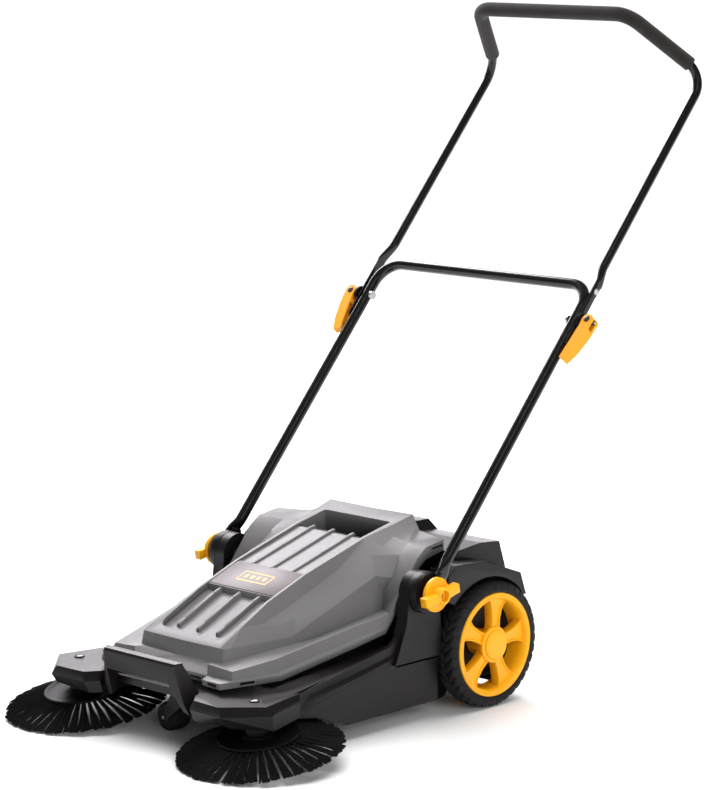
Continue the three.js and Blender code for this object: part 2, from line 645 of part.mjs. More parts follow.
  // Debris tray: floor, sides and front wall; its low rear mouth faces the roller.
  const trayOuter = hull([
    [-155, -422, 107.6], [155, -422, 107.6], [-150, -362, 34], [150, -362, 34],
    [-160, -168, 34], [160, -168, 34],
    [-160, -168, 155], [160, -168, 155],
  ]);
  const trayInner = hull([
    [-152, -419.5, 110], [152, -419.5, 110], [-147, -360, 37], [147, -360, 37],
    [-157, -171, 37], [157, -171, 37],
    [-157, -171, 180], [157, -171, 180], [-152, -419.5, 180], [152, -419.5, 180],
  ]);
  const mouth = block(-157, 157, -185, -150, 56, 134);
  add('debris_tray', cut(trayOuter, trayInner, mouth), BLACK());
}

// ---- handle, drawn upright in its own frame and leaned back about the pivot
function handle() {
  const lower = new THREE.Group();
  lower.position.set(0, PIVOT_Y, PIVOT_Z);
  lower.rotation.x = -THREE.MathUtils.degToRad(HANDLE_LEAN);
  machine.add(lower);
  const both = [lower, lower];
  const eyeIn = BOSS_OUT + 2;
  const eyeOut = LOWER_X + LOWER_TUBE_R;
  const boltHole = turnedX(rod(4 + GAP, -300, 300), 10).translate(0, 0, LOCK_S);
  const section = (r, z, x, sides = 10) => Array.from({ length: sides }, (_, i) => {
    const angle = 2 * Math.PI * (i + 0.5) / sides;
    return [x + r * Math.cos(angle), r * Math.sin(angle), z];
  });
  const pad = (x0, x1, half, z) => [[x0, -half, z], [x1, -half, z], [x0, half, z], [x1, half, z]];
  const sided = (points) => [1, -1].map((s) => hull(points.map(([x, y, z]) => [s * x, y, z])));

  // Lower tube: one U-shaped tube, its two feet pressed flat where the pivot bolts pass.
  const bend = tube([
    [LOWER_X, 0, 61], [LOWER_X, 0, CROSS_S], [-LOWER_X, 0, CROSS_S], [-LOWER_X, 0, 61],
  ], LOWER_TUBE_R, 44, 12);
  const feet = sided([...section(LOWER_TUBE_R - 0.2, 64, LOWER_X, 12), ...pad(eyeIn, eyeOut, 12.5, 36)]);
  const eyeShape = outline([[-12.5, -10], [-7, -16], [7, -16], [12.5, -10], [12.5, 37], [-12.5, 37]]);
  const eye = prismX(hole(eyeShape, 0, 0, 5 + GAP), eyeIn, eyeOut);
  add('lower_tube', cut(join(bend, ...feet, ...bothSides(eye)), boltHole), ENAMEL(), lower);

  // Pivot bolts and their wing knobs.
  const bolt = join(turnedX(rod(5, 205, 268), 12), turnedX(rod(10, 202.5, 206 - GAP), 6));
  addPair('pivot_bolt', bolt, STEEL, both);
  const knobIn = eyeOut + 2;
  const wing = (s) => hull([
    [knobIn + 6, -8, s * 6], [knobIn + 6, 8, s * 6], [knobIn + 24, -7, s * 6], [knobIn + 24, 7, s * 6],
    [knobIn + 6, -8.5, s * 41], [knobIn + 6, 8.5, s * 41],
    [knobIn + 20, -8, s * 39.5], [knobIn + 20, 8, s * 39.5],
  ]);
  const knobBody = join(
    turnedX(rod(28.5, knobIn, knobIn + 8), 28), turnedX(rod(14, knobIn + 7, knobIn + 24.5), 20),
    wing(1), wing(-1),
  );
  const knobBore = turnedX(rod(5 + GAP, knobIn - 1, 268 + GAP), 16);
  const knob = cut(knobBody, knobBore, turnedX(rod(9, 268, 290), 18))
    .rotateX(THREE.MathUtils.degToRad(HANDLE_LEAN - 80));
  addPair('wing_knob', knob, YELLOW, both);

  // Upper handle: one tube, bent forward into the grip loop. Its two lower ends are pressed into
  // tongues that lie against the outside of the lower tube, each with a spare hole above the bolt.
  const corners = [
    [UPPER_X, 0, 654], [UPPER_X, 0, TOP_S], [172, -166, TOP_S],
    [-172, -166, TOP_S], [-UPPER_X, 0, TOP_S], [-UPPER_X, 0, 654],
  ];
  const loop = tube(corners, UPPER_TUBE_R, 42, 10);
  const tongueIn = LOWER_X + LOWER_TUBE_R + GAP;
  const tongueFace = (z, k = 1) => [[0, 9], [2, 8.4], [4, 5]].flatMap(([x, y]) =>
    [[tongueIn + x, y * k, z], [tongueIn + x, -y * k, z]]);
  const tongues = sided([...tongueFace(616), ...tongueFace(TONGUE_S + 8), ...tongueFace(TONGUE_S, 0.5)]);
  const necks = sided([...section(UPPER_TUBE_R, 655, UPPER_X), ...tongueFace(614)]);
  const spareHole = turnedX(rod(4.4, -300, 300), 10).translate(0, 0, SPARE_S);
  const upper = cut(join(loop, ...necks, ...tongues), boltHole, spareHole);
  add('upper_handle', upper, ENAMEL(), lower);

  const foamRun = [[231.4, -28, TOP_S], [172, -166, TOP_S], [-172, -166, TOP_S], [-231.4, -28, TOP_S]];
  const foam = tube(foamRun, 12.8, 42, 10);
  const core = tube(corners, UPPER_TUBE_R + GAP, 42, 10);
  add('foam_grip', cut(foam, core), RUBBER(), lower);

  // Cam locks: a bolt through both tubes with a cross pin at its end, a cup washer and a lever.
  const cupIn = tongueIn + 4 + GAP;
  const shank = turnedX(rod(4, LOWER_X - 11, LOCK_PIN_X + 3), 10);
  const head = turnedX(rod(8, LOWER_X - 14, LOWER_X - LOWER_TUBE_R - GAP), 12);
  const pinLine = (r, half) => turnedZ(rod(r, -half, half), 10).rotateX(Math.PI / 2);
  const lockBolt = join(shank, head, pinLine(2.5, 10.5).translate(LOCK_PIN_X, 0, 0));
  addPair('lock_bolt', lockBolt.translate(0, 0, LOCK_S), STEEL, both);
  const cup = turnedX([
    [4.6, cupIn], [14.5, cupIn], [14, cupIn + 5], [11, cupIn + 9], [8, cupIn + 9],
    [6, cupIn + 6.4], [4.6, cupIn + 6.4], [4.6, cupIn],
  ], 16).translate(0, 0, LOCK_S);
  addPair('cup_washer', cup, BLACK, both);

  // The lever hangs from its cross pin: a rounded eye, then a tapering paddle that is hollow on
  // the tube side.
  const side = new THREE.Shape();
  side.absarc(LOCK_PIN_X, LOCK_S, 10.8, -0.5, Math.PI + 0.2, false);
  side.lineTo(LOCK_PIN_X - 10, LOCK_S - 14);
  side.lineTo(LOCK_PIN_X - 20, LOCK_S - 77);
  side.lineTo(LOCK_PIN_X - 6.5, LOCK_S - 83);
  side.lineTo(LOCK_PIN_X + 3, LOCK_S - 60);
  side.lineTo(LOCK_PIN_X + 8.5, LOCK_S - 30);
  side.lineTo(LOCK_PIN_X + 9.5, LOCK_S - 12);
  const profile = new THREE.ExtrudeGeometry(side, { depth: 30, bevelEnabled: false, curveSegments: 7 })
    .applyMatrix4(basis([1, 0, 0], [0, 0, 1], [0, -1, 0])).translate(0, 15, 0);
  const taper = prismX([
    [-10.5, LOCK_S + 20], [-10.5, LOCK_S - 14], [-6, LOCK_S - 90], [6, LOCK_S - 90],
    [10.5, LOCK_S - 14], [10.5, LOCK_S + 20],
  ], LOCK_PIN_X - 40, LOCK_PIN_X + 40);
  const lever = geometryOf(solid(profile).intersect(solid(taper)));
  const slot = block(LOCK_PIN_X - 14, LOCK_PIN_X + 30, -4.6, 4.6, LOCK_S - 16, LOCK_S + 14);
  const hollow = prismX([
    [-7, LOCK_S - 22], [-4.5, LOCK_S - 70], [4.5, LOCK_S - 70], [7, LOCK_S - 22],
  ], LOCK_PIN_X - 40, LOCK_PIN_X - 4);
  const pinBore = pinLine(2.5 + GAP, 20).translate(LOCK_PIN_X, 0, LOCK_S);
  addPair('cam_lever', cut(lever, slot, hollow, pinBore), YELLOW, both);
}

// ---- swivel caster under the front cross member, trailing to one side
function caster() {
  const group = new THREE.Group();
  group.position.set(0, CASTER_Y, 0);
  machine.add(group);
  const fork = join(
    hull([62, 68].flatMap((z) => [[-14, -13, z], [14, -13, z], [-14, 13, z], [14, 13, z]])),
    turnedZ(rod(5, 66, 86), 14),
    ...[1, -1].map((s) => hull([
      [14, s * 19, 68], [-20, s * 19, 68], [14, s * 22, 68], [-20, s * 22, 68],
      [14, s * 19, 60], [14, s * 22, 60],
      [-CASTER_TRAIL - 7, s * 19, 20], [-CASTER_TRAIL + 7, s * 19, 20],
      [-CASTER_TRAIL - 7, s * 22, 20], [-CASTER_TRAIL + 7, s * 22, 20],
    ])),
    block(-20, 14, -22, 22, 64, 68),
  );
  const axleHole = turnedZ(rod(3 + GAP, -40, 40), 12).rotateX(Math.PI / 2).translate(-CASTER_TRAIL, 0, CASTER_R);
  add('caster_fork', cut(fork, axleHole), BLACK(), group);
  const axle = turnedZ(rod(3, -25, 25), 12).rotateX(Math.PI / 2).translate(-CASTER_TRAIL, 0, CASTER_R);
  add('caster_axle', axle, STEEL(), group);
  const wheel = turnedZ([
    [3.5, -17.5], [20, -17.5], [CASTER_R, -14], [CASTER_R, 14], [20, 17.5], [3.5, 17.5], [3.5, -17.5],
  ], 20).rotateX(Math.PI / 2).translate(-CASTER_TRAIL, 0, CASTER_R);
  add('caster_wheel', wheel, RUBBER(), group);
}

wheels();
roller();
discBrushes();
body();
container();
handle();
caster();

// Put the origin on the floor under the middle of the bounding box.
const extent = new THREE.Box3().setFromObject(sweeper, true);
machine.position.y = -(extent.min.y + extent.max.y) / 2;

export default sweeper;
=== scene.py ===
import json
import math
import random

import bmesh
import bpy
from mathutils import Matrix, Vector


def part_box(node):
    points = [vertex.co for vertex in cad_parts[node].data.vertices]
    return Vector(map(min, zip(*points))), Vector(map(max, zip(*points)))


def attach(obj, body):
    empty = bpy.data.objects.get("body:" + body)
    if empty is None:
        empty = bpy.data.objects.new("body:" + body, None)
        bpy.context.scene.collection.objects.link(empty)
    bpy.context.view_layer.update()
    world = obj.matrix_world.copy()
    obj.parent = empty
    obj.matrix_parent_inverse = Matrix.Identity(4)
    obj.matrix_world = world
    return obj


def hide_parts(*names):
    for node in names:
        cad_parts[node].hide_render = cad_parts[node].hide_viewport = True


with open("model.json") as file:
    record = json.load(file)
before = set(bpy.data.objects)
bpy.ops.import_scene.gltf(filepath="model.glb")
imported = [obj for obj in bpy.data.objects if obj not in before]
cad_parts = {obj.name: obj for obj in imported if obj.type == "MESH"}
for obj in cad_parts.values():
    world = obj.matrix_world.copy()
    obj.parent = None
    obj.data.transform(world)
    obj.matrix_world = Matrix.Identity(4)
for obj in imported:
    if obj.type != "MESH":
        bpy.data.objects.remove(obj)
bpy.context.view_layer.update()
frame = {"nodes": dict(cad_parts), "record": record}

random.seed(11)

# Sizes below are in millimetres from the wheel axle line, the middle plane and the floor.
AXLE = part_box("wheel_axle")
SHIFT = (AXLE[0][1] + AXLE[1][1]) / 2 * 1000
AXLE_Z = (AXLE[0][2] + AXLE[1][2]) / 2 * 1000


# The bolts that the handle folds about, its lean, and distances up the handle from them.
PIVOT = (0, -149.4, 217.4)
LEAN = math.radians(41.3)
LOCK_UP = 542
SPARE_HOLE_UP = 603

# The camera that matches the photograph: where it stands, how it is turned, lens and lens shift.
CAMERA_AT = (3645.1, -3790.0, 1376.7)
AZIMUTH = math.radians(44.07)
ELEVATION = math.radians(9.05)
ROLL = math.radians(0.28)
LENS = 143.7954
LENS_SHIFT = (-0.028139, -0.031544)


def P(x, y, z):
    """A place in metres in the frame, from millimetres from the axle line, middle plane and floor."""
    return Vector((x / 1000, (y + SHIFT) / 1000, z / 1000))


# ------------------------------------------------------------------ camera, floor, light
def camera():
    level = math.cos(ELEVATION)
    right = Vector((math.cos(AZIMUTH), math.sin(AZIMUTH), 0))
    ahead = Vector((-math.sin(AZIMUTH) * level, math.cos(AZIMUTH) * level, -math.sin(ELEVATION)))
    down = -right.cross(ahead)
    x = math.cos(ROLL) * right + math.sin(ROLL) * down
    y = -(-math.sin(ROLL) * right + math.cos(ROLL) * down)
    z = -ahead
    cam = bpy.data.cameras.new("camera")
    cam.sensor_fit = "AUTO"
    cam.sensor_width = 36
    cam.lens = LENS
    cam.shift_x, cam.shift_y = LENS_SHIFT
    cam.clip_end = 60
    ob = bpy.data.objects.new("camera", cam)
    m = Matrix((x, y, z)).transposed().to_4x4()
    m.translation = P(*CAMERA_AT)
    ob.matrix_world = m
    bpy.context.scene.collection.objects.link(ob)
    bpy.context.scene.camera = ob


def area_light(name, at, target, size, power, colour=(1, 1, 1), size_y=None):
    data = bpy.data.lights.new(name, "AREA")
    data.energy = power
    data.color = colour
    data.size = size
    if size_y:
        data.shape = "RECTANGLE"
        data.size_y = size_y
    ob = bpy.data.objects.new(name, data)
    ob.location = at
    ob.rotation_euler = (Vector(target) - Vector(at)).to_track_quat("-Z", "Y").to_euler()
    bpy.context.scene.collection.objects.link(ob)


def sun(name, towards, angle, strength):
    data = bpy.data.lights.new(name, "SUN")
    data.energy = strength
    data.angle = math.radians(angle)
    ob = bpy.data.objects.new(name, data)
    ob.rotation_euler = Vector(towards).to_track_quat("-Z", "Y").to_euler()
    ob.visible_glossy = False
    bpy.context.scene.collection.objects.link(ob)


def studio():
    bpy.context.scene.view_settings.view_transform = "Standard"
    # White backdrop for the camera, a dimmer room for everything it lights.
    world = bpy.data.worlds.new("world")
    bpy.context.scene.world = world
    world.use_nodes = True
    tree = world.node_tree
    ray = tree.nodes.new("ShaderNodeLightPath").outputs["Is Camera Ray"]
    level = tree.nodes.new("ShaderNodeMapRange")
    level.inputs["To Min"].default_value = 0.17
    level.inputs["To Max"].default_value = 1.0
    tree.links.new(ray, level.inputs["Value"])
    tree.links.new(level.outputs["Result"], tree.nodes["Background"].inputs["Strength"])
    tree.nodes["Background"].inputs["Color"].default_value = (1, 1, 1, 1)
    sun("overhead", (0.10, -0.16, -1), 60, 3.6)
    sun("right_window", (-1, 0.34, -0.30), 40, 1.9)
    area_light("back_left", (-2.6, 1.1, 2.6), (0, -0.2, 0.2), 1.6, 115, (1, 0.96, 1))
    area_light("low_back", (-3.3, 3.4, 1.0), (0, -0.2, 0.2), 2.0, 60, (1, 0.96, 1))
    area_light("strip", (2.1, -1.05, 2.56), (0, 0.1, 0.5), 0.07, 7, size_y=2.4)
    area_light("edge_strip", (-3.2, 0.35, 1.33), (0, 0.1, 0.5), 0.22, 14, size_y=2.4)
    mesh = bpy.data.meshes.new("floor")
    mesh.from_pydata([(-30, -30, 0), (30, -30, 0), (30, 30, 0), (-30, 30, 0)], [], [(0, 1, 2, 3)])
    floor = bpy.data.objects.new("floor", mesh)
    bpy.context.scene.collection.objects.link(floor)
    mat = bpy.data.materials.new("floor_paper")
    mat.use_nodes = True
    bsdf = mat.node_tree.nodes["Principled BSDF"]
    bsdf.inputs["Base Color"].default_value = (0.80, 0.80, 0.80, 1)
    bsdf.inputs["Roughness"].default_value = 0.9
    mesh.materials.append(mat)


# ------------------------------------------------------------------ materials
def principled(name):
    mat = bpy.data.materials.new(name)
    mat.use_nodes = True
    return mat, mat.node_tree, mat.node_tree.nodes["Principled BSDF"]


def coords(tree):
    return tree.nodes.new("ShaderNodeTexCoord").outputs["Object"]


def noise(tree, where, scale, detail=4, rough=0.55):
    n = tree.nodes.new("ShaderNodeTexNoise")
    n.inputs["Scale"].default_value = scale
    n.inputs["Detail"].default_value = detail
    n.inputs["Roughness"].default_value = rough
    tree.links.new(where, n.inputs["Vector"])
    return n.outputs["Fac"]


def ramp(tree, fac, stops):
    r = tree.nodes.new("ShaderNodeValToRGB")
    while len(r.color_ramp.elements) < len(stops):
        r.color_ramp.elements.new(0.5)
    for element, (at, colour) in zip(r.color_ramp.elements, stops):
        element.position = at
        element.color = (*colour, 1)
    tree.links.new(fac, r.inputs["Fac"])
    return r.outputs["Color"]


def span(tree, fac, low, high):
    m = tree.nodes.new("ShaderNodeMapRange")
    m.inputs["To Min"].default_value = low
    m.inputs["To Max"].default_value = high
    tree.links.new(fac, m.inputs["Value"])
    return m.outputs["Result"]


def bump(tree, bsdf, height, strength, distance=0.0004, after=None):
    b = tree.nodes.new("ShaderNodeBump")
    b.inputs["Strength"].default_value = strength
    b.inputs["Distance"].default_value = distance
    tree.links.new(height, b.inputs["Height"])
    if after is not None:
        tree.links.new(after, b.inputs["Normal"])
    tree.links.new(b.outputs["Normal"], bsdf.inputs["Normal"])
    return b.outputs["Normal"]


def moulded(name, colour, rough, grain=2600, strength=0.25, vary=0.06, spec=0.5):
    """Injection-moulded plastic: a fine spark-eroded grain, faint flow mottling, handling marks."""
    mat, tree, bsdf = principled(name)
    bsdf.inputs["Specular IOR Level"].default_value = spec
    where = coords(tree)
    broad = noise(tree, where, 9, 5)
    dark = tuple(c * (1 - vary) for c in colour)
    light = tuple(min(1, c * (1 + vary)) for c in colour)
    tree.links.new(ramp(tree, broad, [(0.3, dark), (0.7, light)]), bsdf.inputs["Base Color"])
    marks = noise(tree, where, 60, 6, 0.7)
    tree.links.new(span(tree, marks, rough - 0.06, rough + 0.07), bsdf.inputs["Roughness"])
    soft = bump(tree, bsdf, noise(tree, where, 14, 2), 0.12, 0.0008)
    bump(tree, bsdf, noise(tree, where, grain, 2), strength, 0.00012, soft)
    return mat


def enamel(name, colour=(0.0028, 0.0026, 0.0028)):
    """Gloss powder coat on steel tube, with its slight orange peel."""
    mat, tree, bsdf = principled(name)
    bsdf.inputs["Specular IOR Level"].default_value = 0.3
    bsdf.inputs["Coat Weight"].default_value = 0.35
    bsdf.inputs["Coat Roughness"].default_value = 0.06
    where = coords(tree)
    tones = [(0.3, colour), (0.8, tuple(c * 2 for c in colour))]
    tree.links.new(ramp(tree, noise(tree, where, 30, 4), tones), bsdf.inputs["Base Color"])
    tree.links.new(span(tree, noise(tree, where, 90, 5, 0.7), 0.16, 0.32), bsdf.inputs["Roughness"])
    bump(tree, bsdf, noise(tree, where, 420, 2), 0.18, 0.0002)
    return mat


def zinc(name):
    mat, tree, bsdf = principled(name)
    bsdf.inputs["Metallic"].default_value = 1
    where = coords(tree)
    tones = [(0.25, (0.42, 0.42, 0.43)), (0.75, (0.66, 0.66, 0.68))]
    tree.links.new(ramp(tree, noise(tree, where, 160, 5), tones), bsdf.inputs["Base Color"])
    tree.links.new(span(tree, noise(tree, where, 500, 3), 0.22, 0.42), bsdf.inputs["Roughness"])
    bump(tree, bsdf, noise(tree, where, 900, 2), 0.15, 0.0001)
    return mat


def rubber(name, colour=(0.0055, 0.0052, 0.0055), rough=0.62):
    mat, tree, bsdf = principled(name)
    bsdf.inputs["Specular IOR Level"].default_value = 0.3
    where = coords(tree)
    dusty = noise(tree, where, 22, 6, 0.65)
    tree.links.new(ramp(tree, dusty, [(0.35, colour), (0.8, tuple(c * 2.1 + 0.002 for c in colour))]),
                   bsdf.inputs["Base Color"])
    tree.links.new(span(tree, noise(tree, where, 110, 5), rough - 0.1, rough + 0.14), bsdf.inputs["Roughness"])
    bump(tree, bsdf, noise(tree, where, 700, 3), 0.3, 0.00025)
    return mat


def foam(name):
    """Closed-cell foam: matte, with a skin of small burst cells."""
    mat, tree, bsdf = principled(name)
    bsdf.inputs["Specular IOR Level"].default_value = 0.22
    bsdf.inputs["Sheen Weight"].default_value = 0.12
    bsdf.inputs["Sheen Roughness"].default_value = 0.6
    where = coords(tree)
    tones = [(0.3, (0.0125, 0.0100, 0.0098)), (0.75, (0.024, 0.0205, 0.020))]
    tree.links.new(ramp(tree, noise(tree, where, 40, 6, 0.7), tones), bsdf.inputs["Base Color"])
    bsdf.inputs["Roughness"].default_value = 0.92
    cells = tree.nodes.new("ShaderNodeTexVoronoi")
    cells.inputs["Scale"].default_value = 900
    tree.links.new(where, cells.inputs["Vector"])
    soft = bump(tree, bsdf, noise(tree, where, 120, 4), 0.35, 0.0005)
    bump(tree, bsdf, cells.outputs["Distance"], 0.6, 0.0004, soft)
    return mat


def bristle(name):
    mat, tree, bsdf = principled(name)
    where = coords(tree)
    bsdf.inputs["Specular IOR Level"].default_value = 0.22
    tones = [(0.3, (0.0015, 0.0015, 0.0015)), (0.85, (0.008, 0.0076, 0.0076))]
    tree.links.new(ramp(tree, noise(tree, where, 300, 3), tones), bsdf.inputs["Base Color"])
    tree.links.new(span(tree, noise(tree, where, 80, 3), 0.34, 0.55), bsdf.inputs["Roughness"])
    return mat


GREY = moulded("grey_plastic", (0.128, 0.124, 0.126), 0.46, 2400, 0.22, 0.04, 0.4)
# A lighter copy of the cover grey for the top panels: painted light, for the sheen the lit top catches.
GREY_PANEL_PAINTED_LIGHT = moulded("grey_panel_painted_light", (0.155, 0.150, 0.153), 0.46, 2400, 0.2, 0.05, 0.4)
GREY_DARK = moulded("grey_shadow_plastic", (0.005, 0.0046, 0.0046), 0.55, spec=0.15)
BLACK = moulded("black_plastic", (0.0050, 0.0040, 0.0043), 0.42, 2200, 0.3, 0.1, 0.3)
# A lighter, warmer copy of the black plastic: painted sheen, standing for light that ledges and tops catch.
BLACK_PAINTED_SHEEN = moulded("black_plastic_painted_sheen", (0.0088, 0.0072, 0.0078), 0.40, 2200, 0.3, 0.1, 0.34)
GLOSS = moulded("gloss_black_plastic", (0.003, 0.0027, 0.0028), 0.55, 1500, 0.04, 0.1, 0.16)
YELLOW = moulded("yellow_plastic", (0.86, 0.385, 0.006), 0.40, 2600, 0.15, 0.03, 0.35)
ORANGE = moulded("orange_plastic", (0.86, 0.335, 0.007), 0.4, 2600, 0.15, 0.04, 0.35)
NYLON = moulded("natural_nylon", (0.62, 0.6, 0.55), 0.45)
PLAQUE = moulded("plaque_plastic", (0.115, 0.095, 0.101), 0.42, 1800, 0.1, 0.04, 0.3)
TYRE = rubber("tyre_rubber")
SOFT_RUBBER = rubber("soft_rubber", (0.010, 0.010, 0.010), 0.7)
FOAM = foam("grip_foam")
ENAMEL = enamel("black_enamel")
ZINC = zinc("zinc_plate")
SCREW = moulded("dull_screw", (0.30, 0.29, 0.29), 0.45, 1200, 0.1, 0.2)
PIN = moulded("dark_pin", (0.022, 0.022, 0.024), 0.3, 1500, 0.1)
PALE = moulded("pale_plug_plastic", (0.62, 0.62, 0.62), 0.5)
BRISTLE = bristle("black_bristle")


# ------------------------------------------------------------------ building
def link(obj, body, replaced=()):
    bpy.context.scene.collection.objects.link(obj)
    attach(obj, body)
    if replaced:
        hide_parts(*replaced)
    return obj


def finish_mesh(bm, name, material, sharp=32):
    me = bpy.data.meshes.new(name)
    bmesh.ops.recalc_face_normals(bm, faces=bm.faces)
    bm.to_mesh(me)
    bm.free()
    for p in me.polygons:
        p.use_smooth = True
    me.set_sharp_from_angle(angle=math.radians(sharp))
    me.materials.append(material)
    return bpy.data.objects.new(name, me)


def bevel(bm, width, segments=2, angle=25):
    bmesh.ops.recalc_face_normals(bm, faces=bm.faces)
    sharp = math.radians(angle)
    edges = [e for e in bm.edges if len(e.link_faces) == 2 and e.calc_face_angle(0) > sharp]
    bmesh.ops.bevel(bm, geom=edges, offset=width / 1000, offset_type="OFFSET", segments=segments,
                    profile=0.5, affect="EDGES", clamp_overlap=True)


def solid(name, points, faces, material, body, width=0.8, segments=2):
    """A closed solid from corners and faces, its edges rounded by width."""
    bm = bmesh.new()
    verts = [bm.verts.new(P(*p)) for p in points]
    for f in faces:
        bm.faces.new([verts[i] for i in f])
    if width:
        bevel(bm, width, segments)
    return link(finish_mesh(bm, name, material), body)


def prism(name, outline, x0, x1, material, body, width=0.8, segments=2):
    """A prism along X from an outline of (y, z)."""
    n = len(outline)
    points = [(x0, y, z) for y, z in outline] + [(x1, y, z) for y, z in outline]
    faces = [list(range(n))[::-1], list(range(n, 2 * n))]
    faces += [(i, (i + 1) % n, n + (i + 1) % n, n + i) for i in range(n)]
    return solid(name, points, faces, material, body, width, segments)


# Lays a turned profile's own axis, z, along +X.
ALONG_X = Matrix(((0, 0, 1, 0), (1, 0, 0, 0), (0, 1, 0, 0), (0, 0, 0, 1)))


def place_x(at):
    return Matrix.Translation(P(*at)) @ ALONG_X


def sided(profile, s):
    """A turned profile mirrored for its side of the machine."""
    return [(r, a * s) for r, a in profile]


def lathe(name, profile, material, body, matrix, steps=64, replaced=()):
    """profile: (radius, along) pairs in mm; closed into a ring unless it starts and ends on the axis."""
    bm = bmesh.new()
    rings = []
    for r, a in profile:
        if r < 1e-6:
            rings.append([bm.verts.new((0, 0, a / 1000))] * steps)
        else:
            turns = [2 * math.pi * i / steps for i in range(steps)]
            rings.append([bm.verts.new((r / 1000 * math.cos(turn), r / 1000 * math.sin(turn), a / 1000))
                          for turn in turns])
    closed = profile[0][0] > 1e-6
    pairs = list(zip(rings, rings[1:])) + ([(rings[-1], rings[0])] if closed else [])
    for low, high in pairs:
        for i in range(steps):
            j = (i + 1) % steps
            quad = []
            for v in (low[i], low[j], high[j], high[i]):
                if v not in quad:
                    quad.append(v)
            if len(quad) > 2:
                bm.faces.new(quad)
    bm.transform(matrix)
    return link(finish_mesh(bm, name, material, 35), body, replaced)


def tube(name, points, radius, material, body, bend, replaced, matrix, sides):
    """A round tube through corner points, corners rounded; points in mm in the matrix's own frame."""
    pts = [Vector(p) for p in points]
    path = [pts[0]]
    for i in range(1, len(pts) - 1):
        back = (pts[i - 1] - pts[i]).normalized()
        ahead = (pts[i + 1] - pts[i]).normalized()
        half = back.angle(ahead) / 2
        centre = pts[i] + (back + ahead).normalized() * (bend / math.sin(half))
        a = pts[i] + back * (bend / math.tan(half)) - centre
        b = pts[i] + ahead * (bend / math.tan(half)) - centre
        sweep = a.angle(b)
        axis = a.cross(b).normalized()
        steps = max(2, int(sweep / 0.12))
        for k in range(steps + 1):
            path.append(centre + Matrix.Rotation(sweep * k / steps, 3, axis) @ a)
    path.append(pts[-1])
    bm = bmesh.new()
    rings = []
    normal = None
    for i, p in enumerate(path):
        before = (p - path[i - 1]).normalized() if i else None
        after = (path[i + 1] - p).normalized() if i < len(path) - 1 else None
        t = ((before or after) + (after or before)).normalized()
        if normal is None:
            normal = t.orthogonal().normalized()
        normal = (normal - t * normal.dot(t)).normalized()
        side = t.cross(normal)
        ring = []
        for k in range(sides):
            angle = 2 * math.pi * k / sides
            q = p + (normal * math.cos(angle) + side * math.sin(angle)) * radius
            ring.append(bm.verts.new(q / 1000))
        rings.append(ring)
    for low, high in zip(rings, rings[1:]):
        for k in range(sides):
            j = (k + 1) % sides
            bm.faces.new((low[k], low[j], high[j], high[k]))
    bm.faces.new(rings[0][::-1])
    bm.faces.new(rings[-1])
    bm.transform(matrix)
    return link(finish_mesh(bm, name, material, 40), body, replaced)


def refine(node, material, width=0.8, segments=2, sharp=32):
    """A copy of a CAD node with its flat facets merged and its edges rounded by a bevel modifier."""
    source = frame["nodes"][node]
    bm = bmesh.new()
    bm.from_mesh(source.data)
    bm.transform(source.matrix_world)
    bmesh.ops.remove_doubles(bm, verts=bm.verts, dist=2e-6)
    bmesh.ops.dissolve_limit(bm, angle_limit=math.radians(1.2), verts=bm.verts, edges=bm.edges)
    obj = finish_mesh(bm, node + "_moulded", material, 180)
    rounding = obj.modifiers.new("rounding", "BEVEL")
    rounding.width = width / 1000
    rounding.segments = segments
    rounding.limit_method = "ANGLE"
    rounding.angle_limit = math.radians(22)
    rounding.use_clamp_overlap = True
    rounding.harden_normals = True
    obj.data.set_sharp_from_angle(angle=math.radians(sharp))
    return link(obj, body_of[node], (node,))


body_of = {node: body for body, nodes in frame["record"]["behaviour"]["bodies"].items() for node in nodes}
SIDES = (("right", 1), ("left", -1))


